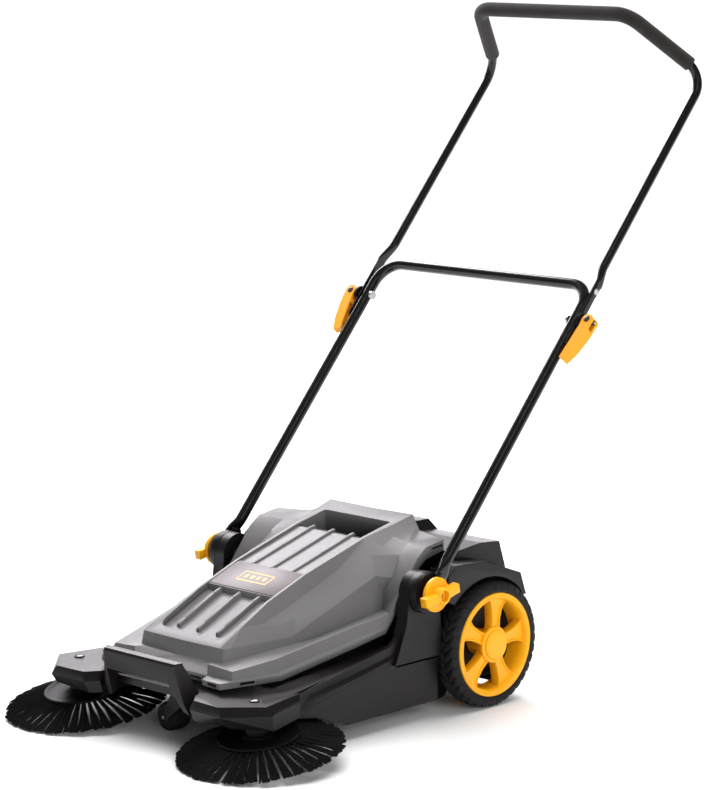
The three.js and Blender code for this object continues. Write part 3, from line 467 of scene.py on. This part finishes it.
# ------------------------------------------------------------------ wheels
def wheel(side, s):
    body = f"wheel_{side}_body"
    # Tyre: a grid round the wheel, its tread cut by chevron grooves and its shoulders scalloped.
    around, lugs, middle = 288, 36, 231.4
    section = [(87.2, 214), (88.5, 212), (92, 210.6), (97, 210.4), (101, 211.6), (103.4, 214)]
    section += [(104.6 + 1.4 * math.sin(math.pi * k / 12), 216 + 31 * k / 12) for k in range(13)]
    section += [(103.4, 249), (101, 251.2), (97, 252.3), (93.5, 252.5), (93, 251.9), (92, 252.4),
                (89, 251.8), (87.2, 250.6)]
    bm = bmesh.new()
    rings = []
    for i in range(around):
        turn = 2 * math.pi * i / around
        ring = []
        for r, x in section:
            off = abs(x - middle)
            phase = (i / around * lugs + off * 0.052) % 1
            if r > 103:
                if phase < 0.2:
                    r -= 2.3
                if off < 1.0:
                    r -= 1.2
            elif r > 95:
                wave = 1 if (i / around * lugs + 0.90) % 1 < 0.24 else 0
                r -= 1.6 * wave
                x -= (1.0 if x > 231 else -1.0) * wave * 0.9
            ring.append(bm.verts.new((r / 1000 * math.cos(turn), r / 1000 * math.sin(turn), x * s / 1000)))
        rings.append(ring)
    n = len(section)
    for i in range(around):
        a, b = rings[i], rings[(i + 1) % around]
        for k in range(n):
            j = (k + 1) % n
            bm.faces.new((a[k], a[j], b[j], b[k]))
    m = place_x((0, 0, AXLE_Z))
    bm.transform(m)
    link(finish_mesh(bm, f"tyre_tread_{side}", TYRE, 38), body, (f"tyre_{side}",))
    # Rim band: outer bead, deep dish wall and a well for the spokes.
    lathe(f"rim_band_{side}", sided([
        (87, 214), (87, 251.5), (86, 253), (83.5, 253), (82.6, 252.2), (81.2, 252.2), (80.4, 253),
        (78.5, 252.6),
        (77.2, 250.5), (75.4, 246), (74.4, 238), (74.2, 216), (77, 214),
    ], s), YELLOW, body, m, 96, (f"wheel_rim_{side}",))
    lathe(f"rim_hub_{side}", sided([
        (6.4, 207), (21, 207), (23, 226), (27.5, 238), (30.5, 246), (30.5, 250), (28.5, 252), (25.4, 252),
        (25, 251), (6.4, 251),
    ], s), YELLOW, body, m, 64)
    lathe(f"rim_cap_{side}", sided([
        (0, 250.6), (24.2, 250.6), (24.4, 253.2), (23, 255), (20, 255.6), (19.4, 255.1), (18, 255.2),
        (9, 256.4), (0, 256.9),
    ], s), YELLOW, body, m, 64, (f"hub_cap_{side}",))
    # Spokes: radius, half width and front face at each station, with a lip along both edges.
    stations = [(22, 11.5, 246), (30, 9.6, 245.5), (44, 9.8, 244), (60, 13, 243), (71, 18.5, 243.5),
                (77, 24, 245)]
    spokes, lip = 5, 2.2
    for i in range(spokes):
        spin = Matrix.Rotation(2 * math.pi * (i + 0.11) / spokes, 4, "Z")
        bm = bmesh.new()
        rows = []
        for r, half, front in stations:
            row = []
            for across, depth in ((-half, 14), (-half, -3.2), (-half + lip, -3.2), (-half + lip + 0.6, 0),
                                  (half - lip - 0.6, 0), (half - lip, -3.2), (half, -3.2), (half, 14)):
                row.append(bm.verts.new((r / 1000, across / 1000, (front - depth) * s / 1000)))
            rows.append(row)
        for a, b in zip(rows, rows[1:]):
            for k in range(8):
                bm.faces.new((a[k], a[(k + 1) % 8], b[(k + 1) % 8], b[k]))
        bm.faces.new(rows[0])
        bm.faces.new(rows[-1])
        bevel(bm, 0.7, 2, 40)
        bm.transform(m @ spin)
        link(finish_mesh(bm, f"rim_spoke_{side}_{i}", YELLOW, 35), body)


# ------------------------------------------------------------------ disc brushes
TILT = math.radians(8.4)


def tilted(s):
    return Matrix.Translation(P(s * 207, -493.8, 0)) @ Matrix.Rotation(TILT, 4, "X")


def disc_brush(side, s):
    body = f"disc_brush_{side}"
    m = tilted(s)
    lathe(f"brush_plate_{side}", [
        (6.4, 36), (24, 36), (28, 41.6), (56, 41.6), (65.4, 44.6), (66.2, 46.2), (65.6, 48), (63.8, 48.6),
        (61.5, 48), (58, 46.4), (50, 45.4), (33, 45.4), (30, 47), (25.6, 47.5), (24, 50), (20, 51.5),
        (19, 55.5), (6.4, 55.5),
    ], GLOSS, body, m, 96, (f"brush_disc_{side}",))
    # Bristles: tufts round the plate, each a sheaf of bent filaments.
    bm = bmesh.new()

    def filament(theta, r0, z0, r1, z1, skew, droop, thick):
        base = None
        for k, t in enumerate((0, 0.4, 0.75, 1)):
            r = r0 + (r1 - r0) * t
            z = z0 + (z1 - z0) * t + droop * 4 * t * (1 - t)
            a = theta + skew * t * t
            c = Vector((r * math.cos(a), r * math.sin(a), z)) / 1000
            w = thick * (1 - 0.12 * t) / 1000
            tangent = Vector((-math.sin(a), math.cos(a), 0))
            lift = Vector((0.3 * math.cos(a), 0.3 * math.sin(a), 1)).normalized()
            row = [bm.verts.new(c + step) for step in (tangent * w, lift * w * 0.8, -tangent * w)]
            if base:
                for i in range(3):
                    j = (i + 1) % 3
                    bm.faces.new((base[i], base[j], row[j], row[i]))
            base = row
        bm.faces.new(base)

    tufts, filaments = 42, 24
    for row, (start, low, reach) in enumerate(((61, 43.8, 135), (55.5, 41.9, 132.5))):
        for i in range(tufts):
            theta = 2 * math.pi * (i + 0.12 * row) / tufts
            lean, length = random.gauss(0, 0.016), random.gauss(0, 1.3)
            for _ in range(filaments):
                off = random.uniform(-1, 1)
                end = min(136.2, reach + length - abs(random.gauss(0, 1.5)) - 1.2 * off * off)
                drop = 21.2 + (136 - end) * 0.22 + random.uniform(-0.4, 1.4)
                filament(theta + off * 0.034, start, low + random.uniform(-1.2, 0.8), end, drop,
                         lean + off * 0.026 + random.gauss(0, 0.011), random.uniform(0.4, 2.4), 1.1)
    bm.transform(m)
    node = f"brush_bristles_{side}"
    link(finish_mesh(bm, f"brush_tufts_{side}", BRISTLE, 60), body, (node,))


# ------------------------------------------------------------------ container cover
def ridge(y):
    """Height of the cover's upper skin at a place along its length."""
    table = [(-470, 158), (-420, 182.5), (-357, 212.8), (-271, 244.4), (-135, 284), (-66, 299), (-33, 307)]
    for (y0, z0), (y1, z1) in zip(table, table[1:]):
        if y <= y1:
            return z0 + (z1 - z0) * (y - y0) / (y1 - y0)
    return table[-1][1]


def cover_shell():
    """Both halves of the cover's skin, from named corners; right-hand corners are mirrored for the left."""
    v = {
        # upper edge of the flank, front to rear, and the edge of the recess inside it
        "R0": (88, -470, 158), "R1": (86, -420, 182.5), "R2": (82.5, -357, 212.8), "R3": (82.5, -271, 244.4),
        "R4": (84, -135, 284), "R5": (90, -66, 299), "R6": (97, -33, 309.5),
        "A0": (0, -471, 157.5),
        # nose face with its rounded corner, down to the terrace
        "Q0": (95, -467, 157), "Q1": (101, -458, 157.5), "N0": (86, -474, 135), "N1": (0, -476, 134),
        "N2": (95, -472, 136), "N3": (102, -464, 138),
        # flank: scoop, crease and lower edge
        "S1": (90, -378, 182), "S2": (90, -327, 197), "S3": (89, -259, 221.5), "S4": (92, -206, 243.5),
        "C1": (106, -350, 178), "C2": (112, -324, 185), "C3": (109.5, -258, 211), "C4": (110, -194, 238),
        "V1": (121, -343, 159), "V2": (148, -176, 236), "V3": (151, -162, 211), "V4": (150, -163, 178),
        "M1": (116, -154, 261.5),
        "W1": (124, -342, 148), "W2": (132, -295, 152),
        # shoulder over the wheel
        "X1": (160, -152, 230), "X2": (150, -122, 263), "X3": (146, -98, 277.5), "X5": (122, -44, 287.5),
        "Y2": (110, -121, 272), "Y3": (110, -93, 283), "Y5": (107, -37, 298),
        "K0": (197, -195, 184), "K1": (197, -158, 229), "K2": (197, -130, 264), "K3": (196, -108, 279.5),
        "K4": (195, -64, 285.5), "K5": (150, -52, 286.5),
        # terrace, its edge and the flange below
        "T0": (86, -494, 137), "T1": (139, -491, 133), "T2": (160, -415, 143), "T3": (185, -261, 173),
        "S5": (86, -496, 119), "S6": (141, -494, 119), "S7": (162, -416, 122), "S8": (188, -261, 154),
        "S9": (195, -206, 163),
        "F0": (88, -509, 115), "F1": (139, -519, 118.5), "F2": (171, -415, 119.5), "F3": (192, -261, 150.5),
        "F4": (197, -206, 161.5),
        "G0": (88, -509, 106), "G1": (139, -519, 108.5), "G2": (172, -415, 110), "G3": (192, -261, 141),
        "G4": (197, -204, 152),
        "L1": (197, -160, 206), "L2": (197, -131, 243), "L3": (196, -108, 259), "L4": (195, -64, 268),
        "Z0": (0, -497, 119), "Z1": (0, -498, 107), "Z2": (86, -497, 119), "Z3": (86, -498, 107),
    }
    edge = [(0, -451.5), (62, -451.5), (70, -448.5), (75.5, -442), (77, -432), (77, -420), (77, -357),
            (77, -271), (77, -135), (77, -68), (72, -66.5), (0, -66.5)]
    for i, (x, y) in enumerate(edge):
        v[f"I{i}"] = (x, y, ridge(y) - (0.6 if y < -440 else 0))
        v[f"J{i}"] = (x, y + (1.5 if y < -440 else 0), ridge(y) - (16 if y < -136 else 50))
    v["B5"] = (0, -66, 299)
    v["B6"] = (0, -33, 308)
    v["B7"] = (0, -30.5, 304)
    v["B8"] = (97, -30.5, 304)
    v["B9"] = (0, -31, 288)
    v["B10"] = (97, -31, 288)
    faces = """A0 R0 I3 I2 I1 I0; R0 R1 I5 I4 I3; R1 R2 I6 I5; R2 R3 I7 I6; R3 R4 I8 I7; R4 R5 I9 I8;
        R5 R6 B6 B5 I11 I10 I9; B6 R6 B8 B7; B7 B8 B10 B9; R6 Y5 B10 B8; N1 N0 R0 A0; N0 N2 Q0 R0;
        N2 N3 Q1 Q0; N3 W1 V1 Q1; R0 Q0 R1; Q0 Q1 R1; Q1 V1 C1 R1; V1 C2 C1; V1 V2 C4 C3 C2; R1 C1 S1;
        C1 C2 S2 S1; C2 C3 S3 S2; C3 C4 S4 S3; R1 S1 R2; S1 S2 R2; S2 S3 R3 R2; S3 S4 R3; S4 C4 M1 R4;
        S4 R4 R3; C4 V2 M1; V1 W1 W2 V4 V3 V2; V4 K0 K1 V3; V3 K1 X1; V2 V3 X1; X1 K1 K2 X2;
        V2 X1 X2 M1; M1 X2 Y2 R4; X2 K2 K3 X3; Y2 X2 X3 Y3; R4 Y2 Y3 R5; R5 Y3 Y5 R6; Y3 X3 X5 Y5;
        X3 K5 X5; X3 K3 K4 K5; N0 T0 T1 N2; N2 T1 N3; N3 T1 T2 W1; W1 T2 W2; W2 T2 T3 V4; V4 T3 K0;
        T0 S5 S6 T1; T1 S6 S7 T2; T2 S7 S8 T3; T3 S8 S9 K0; S5 F0 F1 S6; S6 F1 F2 S7; S7 F2 F3 S8;
        S8 F3 F4 S9; F0 G0 G1 F1; F1 G1 G2 F2; F2 G2 G3 F3; F3 G3 G4 F4; K0 S9 F4 L1 K1; F4 G4 L1;
        K1 L1 L2 K2; K2 L2 L3 K3; K3 L3 L4 K4; N1 Z0 Z2 S5 T0 N0; Z0 Z1 Z3 Z2; Z2 Z3 G0 F0 S5"""
    faces = [f.split() for f in faces.split(";")]
    faces += [[f"I{i}", f"I{i + 1}", f"J{i + 1}", f"J{i}"] for i in range(len(edge) - 1)]
    bm = bmesh.new()
    for s in (1, -1):
        made = {key: bm.verts.new(P(s * x, y, z)) for key, (x, y, z) in v.items()}
        for f in faces:
            bm.faces.new([made[k] for k in (f if s > 0 else f[::-1])])
    bmesh.ops.remove_doubles(bm, verts=bm.verts, dist=1e-5)
    bmesh.ops.recalc_face_normals(bm, faces=bm.faces)
    if sum(f.normal.z * f.calc_area() for f in bm.faces) < 0:
        bmesh.ops.reverse_faces(bm, faces=bm.faces)
    edges = [e for e in bm.edges if len(e.link_faces) == 2 and e.calc_face_angle(0) > math.radians(17)]
    bmesh.ops.bevel(bm, geom=edges, offset=0.0016, offset_type="OFFSET", segments=3, profile=0.5,
                    affect="EDGES", clamp_overlap=True)
    me = bpy.data.meshes.new("cover_shell")
    bm.to_mesh(me)
    bm.free()
    for p in me.polygons:
        p.use_smooth = True
    me.set_sharp_from_angle(angle=math.radians(44))
    me.materials.append(GREY)
    shell = bpy.data.objects.new("cover_shell", me)
    thick = shell.modifiers.new("wall", "SOLIDIFY")
    thick.thickness = 0.0024
    thick.offset = -1
    link(shell, "container", ("container_cover",))


# Faces of a block whose eight corners are listed as two layers of two pairs.
BLOCK = [(0, 1, 3, 2), (4, 6, 7, 5), (0, 4, 5, 1), (2, 3, 7, 6), (0, 2, 6, 4), (1, 5, 7, 3)]


def cover():
    body = "container"
    cover_shell()

    def strip(name, y0, y1, half0, half1, drop0, drop1, material, width, thick):
        ends = ((y0, drop0, half0), (y1, drop1, half1))
        pts = [(x * half, y, ridge(y) - d) for y, d, half in ends for x in (-1, 1)]
        pts += [(a, b, c - thick) for a, b, c in pts]
        return solid(name, pts, BLOCK, material, body, width, 2)

    def bar(name, x, half, y0, y1, low, high):
        layers = ((high, 0.8), (low, 1.25))
        pts = [(x + k * half * w, y, ridge(y) - d) for d, w in layers for y in (y0, y1) for k in (-1, 1)]
        return solid(name, pts, BLOCK, GREY, body, 0.8, 2)

    # Recessed panels and their ribs, below and above the plaque; the panels take a lighter grey, painted light
    # for the sheen on the lit top.
    panels = [(-451, -438, 64, 76.5, 9.5, 10.5), (-438, -420, 76.5, 77, 10.5, 11.5),
              (-420, -357, 77, 77, 11.5, 12.5), (-357, -338, 77, 77, 12.5, 12.5),
              (-272, -200, 77, 77, 4.4, 5.0), (-200, -135, 77, 77, 5.0, 5.0),
              (-135, -128, 77, 77, 5.0, 5.0)]
    for i, (y0, y1, h0, h1, d0, d1) in enumerate(panels):
        strip(f"panel_{i}", y0, y1, h0, h1, d0, d1, GREY_PANEL_PAINTED_LIGHT, 0, 5)
    for i, x in enumerate((-46, 0, 46)):
        for part, (y0, y1) in enumerate(((-436, -420), (-420, -357), (-357, -333))):
            bar(f"rib_low_{i}_{part}", x, 3.6, y0, y1, 14, 4.2)
        for part, (y0, y1) in enumerate(((-271, -200), (-200, -135), (-135, -123))):
            bar(f"rib_high_{i}_{part}", x, 3.6, y0, y1, 8, 1.2)
    # Seat and plaque: a plain plate with a generic mark of bars in a frame.
    strip("plaque_seat", -341, -268.7, 77, 77, 1.6, 1.6, GREY, 0.6, 20)
    plate = strip("plaque_plate", -339, -273, 76, 76, 0.5, 0.5, PLAQUE, 0.7, 3)
    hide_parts("plaque")

    def on_plaque(x, t):
        y = -339 + 66 * t
        return (x, y, ridge(y) - 0.2)

    lines = [(-33, 33, 0.655, 0.69), (-33, 33, 0.31, 0.345), (-34.4, -32.4, 0.31, 0.69),
             (32.4, 34.4, 0.31, 0.69)]
    lines += [(-24 + 14 * k, -18 + 14 * k, 0.43, 0.57) for k in range(4)]
    for i, (x0, x1, t0, t1) in enumerate(lines):
        pts = [on_plaque(x0, t0), on_plaque(x1, t0), on_plaque(x0, t1), on_plaque(x1, t1)]
        pts += [(a, b, c - 0.8) for a, b, c in pts]
        solid(f"plaque_mark_{i}", pts, BLOCK, YELLOW, body, 0, 1)
    # Hand pocket behind the upper panel and under the lifting bar.
    for name, half, outline in (
            ("pocket_front", 77, [(-130, 281), (-126.5, 281), (-121, 240), (-125, 240)]),
            ("pocket_floor", 77, [(-124, 243), (-124, 240), (-40, 240), (-40, 243)]),
            ("cover_rear", 97, [(-37, 240), (-34, 240), (-32, 290), (-35, 290)])):
        prism(name, outline, -half, half, GREY_DARK, body, 0.4, 2)
    # Catch slots in the terrace edge and the arch: a dark plate set on a thin grey lip.
    slots = [((62, -498.3, 113), (1, 0.01, 0)), ((117, -514.6, 112.5), (1, -0.19, 0.02)),
             ((153.5, -473, 114.3), (0.31, 1, 0.01)), ((178.5, -337, 128), (0.135, 1, 0.19)),
             ((197, -82, 276.5), (0, 1, 0.1))]
    for side, s in SIDES:
        for k, (at, along) in enumerate(slots):
            x, y, z = at
            a = Vector(along).normalized()
            out = Vector((a.y, -a.x, 0)).normalized() if abs(a.y) > 0.5 else Vector((0, -1, 0))
            up = a.cross(out).normalized()
            up = up if up.z > 0 else -up
            layers = ((14, 3.4, 0.5, GREY), (12.6, 2.3, 0.9, GREY_DARK))
            for part, (half, high, deep, material) in enumerate(layers):
                pts = [Vector((x, y, z)) + a * (p * half) + up * (q * high) + out * (r * deep)
                       for r in (1, -1) for q in (-1, 1) for p in (-1, 1)]
                pts = [(s * q.x, q.y, q.z) for q in pts]
                name = f"catch_slot_{side}_{k}_{part}"
                solid(name, pts, BLOCK, material, body, 0.3, 1)


# ------------------------------------------------------------------ handle
# The handle's own frame: z runs up the handle from the pivot bolts.
HANDLE = Matrix.Translation(P(*PIVOT)) @ Matrix.Rotation(-LEAN, 4, "X")


def loft(name, rows, material, body, matrix, sharp=45):
    """A closed skin over rows of points of equal count, in mm in the matrix's own frame."""
    bm = bmesh.new()
    made = [[bm.verts.new(Vector(p) / 1000) for p in row] for row in rows]
    for a, b in zip(made, made[1:]):
        for k in range(len(a)):
            j = (k + 1) % len(a)
            bm.faces.new((a[k], a[j], b[j], b[k]))
    bm.faces.new(made[0])
    bm.faces.new(made[-1])
    bm.transform(matrix)
    return link(finish_mesh(bm, name, material, sharp), body)


def blend_section(s, z, x, rx, ry, square, count=24):
    """A section in the plane z that runs from round (square 0) to flat-sided (square 1)."""
    row = []
    for k in range(count):
        angle = 2 * math.pi * k / count
        cx, cy = math.cos(angle), math.sin(angle)
        row.append((s * (x + math.copysign(abs(cx) ** (1 - 0.7 * square), cx) * rx),
                    math.copysign(abs(cy) ** (1 - 0.4 * square), cy) * ry, z))
    return row


def handle():
    low, up = "lower_handle", "upper_handle_body"
    bow = [(241.8, 0, 62), (241.8, 0, 613), (-241.8, 0, 613), (-241.8, 0, 62)]
    tube("lower_tube_round", bow, 9.5, ENAMEL, low, 44, ("lower_tube",), HANDLE, 28)
    for side, s in SIDES:
        rows = []
        for k in range(9):
            e = (k / 8) ** 2 * (3 - k / 4)
            rows.append(blend_section(s, 65 - 29 * k / 8, 241.8 + 6.6 * e, 9.45 - 6.55 * e, 9.45 + 3.05 * e, e))
        loft(f"lower_tube_neck_{side}", rows, ENAMEL, low, HANDLE)
        eye = [(-12.5, 36), (-12.5, -6), (-12, -9.5), (-10.2, -12.6), (-7.4, -15), (-3.8, -16), (3.8, -16),
               (7.4, -15), (10.2, -12.6), (12, -9.5), (12.5, -6), (12.5, 36)]
        rows = [[(s * x, y * f, z if z > 30 else z * f) for y, z in eye]
                for x, f in ((245.5, 0.95), (246.1, 1), (250.7, 1), (251.3, 0.95))]
        loft(f"lower_tube_eye_{side}", rows, ENAMEL, low, HANDLE, 50)

    loop = [(243.6, 0, 652), (243.6, 0, 1063), (172, -166, 1063), (-172, -166, 1063), (-243.6, 0, 1063),
            (-243.6, 0, 652)]
    tube("grip_tube", loop, 8.0, ENAMEL, up, 42, ("upper_handle",), HANDLE, 28)
    for side, s in SIDES:
        # The tube's end, pressed into a flat tongue with a rounded tip, and its spare hole.
        rows = []
        for k in range(9):
            e = (k / 8) ** 2 * (3 - k / 4)
            rows.append(blend_section(s, 656 - 42 * k / 8, 243.6 + 9.9 * e, 7.95 - 5.95 * e, 7.95 + 1.0 * e, e))
        loft(f"grip_tube_neck_{side}", rows, ENAMEL, up, HANDLE)
        tongue = [(616, 1), (501, 1), (498, 0.93), (495.5, 0.76), (493.8, 0.5), (493.1, 0.24)]
        half = [(251.6, 8.6), (251.9, 8.9), (253.6, 8.4), (255.2, 6.2), (255.6, 4.6)]
        rim = [(x, -y) for x, y in half] + half[::-1]
        rows = [[(s * x, y * f, z) for x, y in rim] for z, f in tongue]
        loft(f"grip_tube_tongue_{side}", rows, ENAMEL, up, HANDLE)
        hole = Matrix.Translation(Vector((0, 0, SPARE_HOLE_UP)) / 1000)
        m = HANDLE @ hole @ Matrix.Rotation(math.pi / 2, 4, "Y")
        eyelet = [(3.2, 255.2), (3.2, 256.3), (4.4, 256.5), (5.6, 256.0), (5.6, 255.2)]
        lathe(f"spare_eyelet_{side}", sided(eyelet, s), ZINC, up, m, 32)
        plug = [(0, 255.3), (3.3, 255.3), (3.3, 255.8), (0, 255.8)]
        lathe(f"spare_hole_{side}", sided(plug, s), PALE, up, m, 24)

    run = [(229.5, -32.7, 1063), (172, -166, 1063), (-172, -166, 1063), (-229.5, -32.7, 1063)]
    sleeve = tube("foam_sleeve", run, 12.8, FOAM, up, 42, ("foam_grip",), HANDLE, 32)


def fittings():
    knob_turn = math.radians(10)
    for side, s in SIDES:
        # Wing knob: round base, straight wing with square ends, large hole in the middle.
        at = Matrix.Translation(P(*PIVOT)) @ Matrix.Rotation(knob_turn, 4, "X")
        knob = f"wing_knob_{side}"
        body = body_of[knob]
        turned = at @ ALONG_X

        def ring(name, profile, steps):
            return lathe(f"{name}_{side}", sided(profile, s), YELLOW, body, turned, steps)

        base = ring("knob_base", [(5.2, 253.4), (27.2, 253.4), (28.3, 254.4), (28.3, 259.8), (27, 261.2),
                                  (25.4, 261.6), (24.4, 260.6), (16, 260.6), (5.2, 261)], 72)
        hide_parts(f"wing_knob_{side}")
        ring("knob_boss", [(9, 259.5), (14.4, 259.5), (13.8, 276), (12.9, 277.4), (10, 277.8),
                           (9.2, 277.2), (8.8, 268.4)], 48)
        ring("knob_floor", [(5.3, 264), (9.2, 264), (9.2, 268), (5.3, 268)], 40)
        # Each wing: distance out, half height, inner and outer face at each station.
        stations = ((12.4, 8.4, 259.6, 277), (20, 7.9, 259.4, 276.2), (30, 8.0, 259.4, 274.8),
                    (40.2, 8.6, 259.4, 273.4))
        for w, way in enumerate((1, -1)):
            rows = [[(s * x0, way * along, -half), (s * x0, way * along, half),
                     (s * x1, way * along, half * 0.9), (s * x1, way * along, -half * 0.9)]
                    for along, half, x0, x1 in stations]
            bm = bmesh.new()
            made = [[bm.verts.new(Vector(q) / 1000) for q in row] for row in rows]
            for a, b in zip(made, made[1:]):
                for k in range(4):
                    bm.faces.new((a[k], a[(k + 1) % 4], b[(k + 1) % 4], b[k]))
            bm.faces.new(made[0])
            bm.faces.new(made[-1])
            bevel(bm, 1.5, 3, 30)
            bm.transform(at)
            link(finish_mesh(bm, f"knob_wing_{side}_{w}", YELLOW, 40), body)
        refine(f"cam_lever_{side}", ORANGE, 1.3, 3, sharp=40)
        refine(f"cup_washer_{side}", GLOSS, 0.8, 3, sharp=40)
        refine(f"lock_bolt_{side}", ZINC, 0.5, 2)
        refine(f"pivot_bolt_{side}", ZINC, 0.5, 2)
        refine(f"arm_screw_{side}", SCREW, 0.5, 2)
        # Barrel and tip of the lock bolt, in the lever's slot.
        bolt = f"lock_bolt_{side}"
        m = HANDLE @ Matrix.Translation(Vector((0, 0, LOCK_UP)) / 1000) @ ALONG_X
        barrel = [(0, 270), (4.1, 270), (4.1, 285.4), (3.6, 286.2), (2.7, 286.3), (2.7, 284.8), (0, 284.8)]
        lathe(f"lock_barrel_{side}", sided(barrel, s), PIN, body_of[bolt], m, 32)
        tip = [(0, 284.6), (2.5, 284.6), (2.5, 287), (1.7, 287.9), (0, 288)]
        lathe(f"lock_tip_{side}", sided(tip, s), ZINC, body_of[bolt], m, 32)
        # Dark caps on the cross pin's ends, where they show in the lever's cheeks.
        cap = [(0, 10.2), (5.6, 10.2), (5.6, 11.3), (4.9, 11.9), (3.0, 12.1), (2.6, 11.7), (0, 11.7)]
        for k, way in enumerate((1, -1)):
            centre = Matrix.Translation(Vector((276 * s, 0, LOCK_UP)) / 1000)
            m = HANDLE @ centre @ Matrix.Rotation(-way * math.pi / 2, 4, "X")
            lathe(f"lever_pin_cap_{side}_{k}", cap, PIN, body_of[bolt], m, 40)


# ------------------------------------------------------------------ chassis
def chassis():
    for side, s in SIDES:
        refine(f"side_frame_{side}", BLACK, 1.2, 3, sharp=30)
        refine(f"wheel_arch_{side}", BLACK, 1.2, 3, sharp=30)
        # Stop lug and drum with its seam on the handle boss, and the screw's well on the arm.
        lug = [(-131, 243), (-130, 254.5), (-122, 251), (-120, 240)]
        prism(f"boss_stop_{side}", lug, s * 227, s * 242, BLACK, "chassis", 0.7, 2)
        drum = [(29, 224), (33.9, 224), (34.5, 225.4), (34.5, 235.6), (34.1, 236), (34.1, 236.6), (34.5, 237),
                (34.5, 240.4), (33.4, 242.9), (31, 243.5), (20, 243.4), (12, 243.4), (12, 240), (29, 240)]
        lathe(f"boss_drum_{side}", sided(drum, s), BLACK, "chassis", place_x(PIVOT), 72)
        well = [(6.3, 99), (6.3, 102.4), (6.9, 103.2), (7.9, 102.9), (8.6, 101.4), (9, 99)]
        # The screw well takes the lighter black copy: painted sheen.
        lathe(f"screw_well_{side}", well, BLACK_PAINTED_SHEEN, "chassis", Matrix.Translation(P(s * 207, -508.7, 0)), 40)
    refine("rear_hood", BLACK, 2.0, 3, sharp=30)
    # The carry handle takes the lighter black copy: painted sheen.
    refine("front_carry_handle", BLACK_PAINTED_SHEEN, 1.8, 3, sharp=30)
    refine("front_crossmember", BLACK, 1.2, 2)
    refine("debris_tray", BLACK, 1.0, 2)
    refine("rear_flap", SOFT_RUBBER, 0.6, 2)


def caster():
    # The caster fork takes the lighter black copy: painted sheen.
    refine("caster_fork", BLACK_PAINTED_SHEEN, 0.8, 2)
    refine("caster_axle", ZINC, 0.5, 2)
    m = Matrix.Translation(P(-38, -455, 24)) @ Matrix.Rotation(math.pi / 2, 4, "X")
    lathe("caster_tread", [
        (3.6, -17.4), (9, -17.4), (10, -15.5), (19, -15.5), (21, -17), (23, -15.4), (23.9, -12.5),
        (23.9, 12.5), (23, 15.4), (21, 17), (19, 15.5), (10, 15.5), (9, 17.4), (3.6, 17.4),
    ], SOFT_RUBBER, "caster_wheel_body", m, 48, ("caster_wheel",))


# ------------------------------------------------------------------ the CAD pieces that stay
KEPT = {
    "wheel_axle": ZINC, "wheel_gear": NYLON, "wheel_sleeve": NYLON,
    "roller_core": BLACK, "roller_bristles": BRISTLE, "roller_gear": NYLON,
}
PAIRS = {
    "belt_pulley": GLOSS, "countershaft": ZINC, "brush_spindle": GLOSS, "brush_gearbox": BLACK,
    "drive_belt": SOFT_RUBBER, "bearing_plate": BLACK,
}
KEPT.update({f"{name}_{side}": material for name, material in PAIRS.items() for side, _ in SIDES})


def kept():
    for node, material in KEPT.items():
        obj = frame["nodes"][node]
        if not obj.data.materials:
            obj.data.materials.append(material)
        for slot in obj.material_slots:
            slot.material = material


camera()
studio()
kept()
for side_name, sign in SIDES:
    wheel(side_name, sign)
    disc_brush(side_name, sign)
cover()
handle()
fittings()
chassis()
caster()
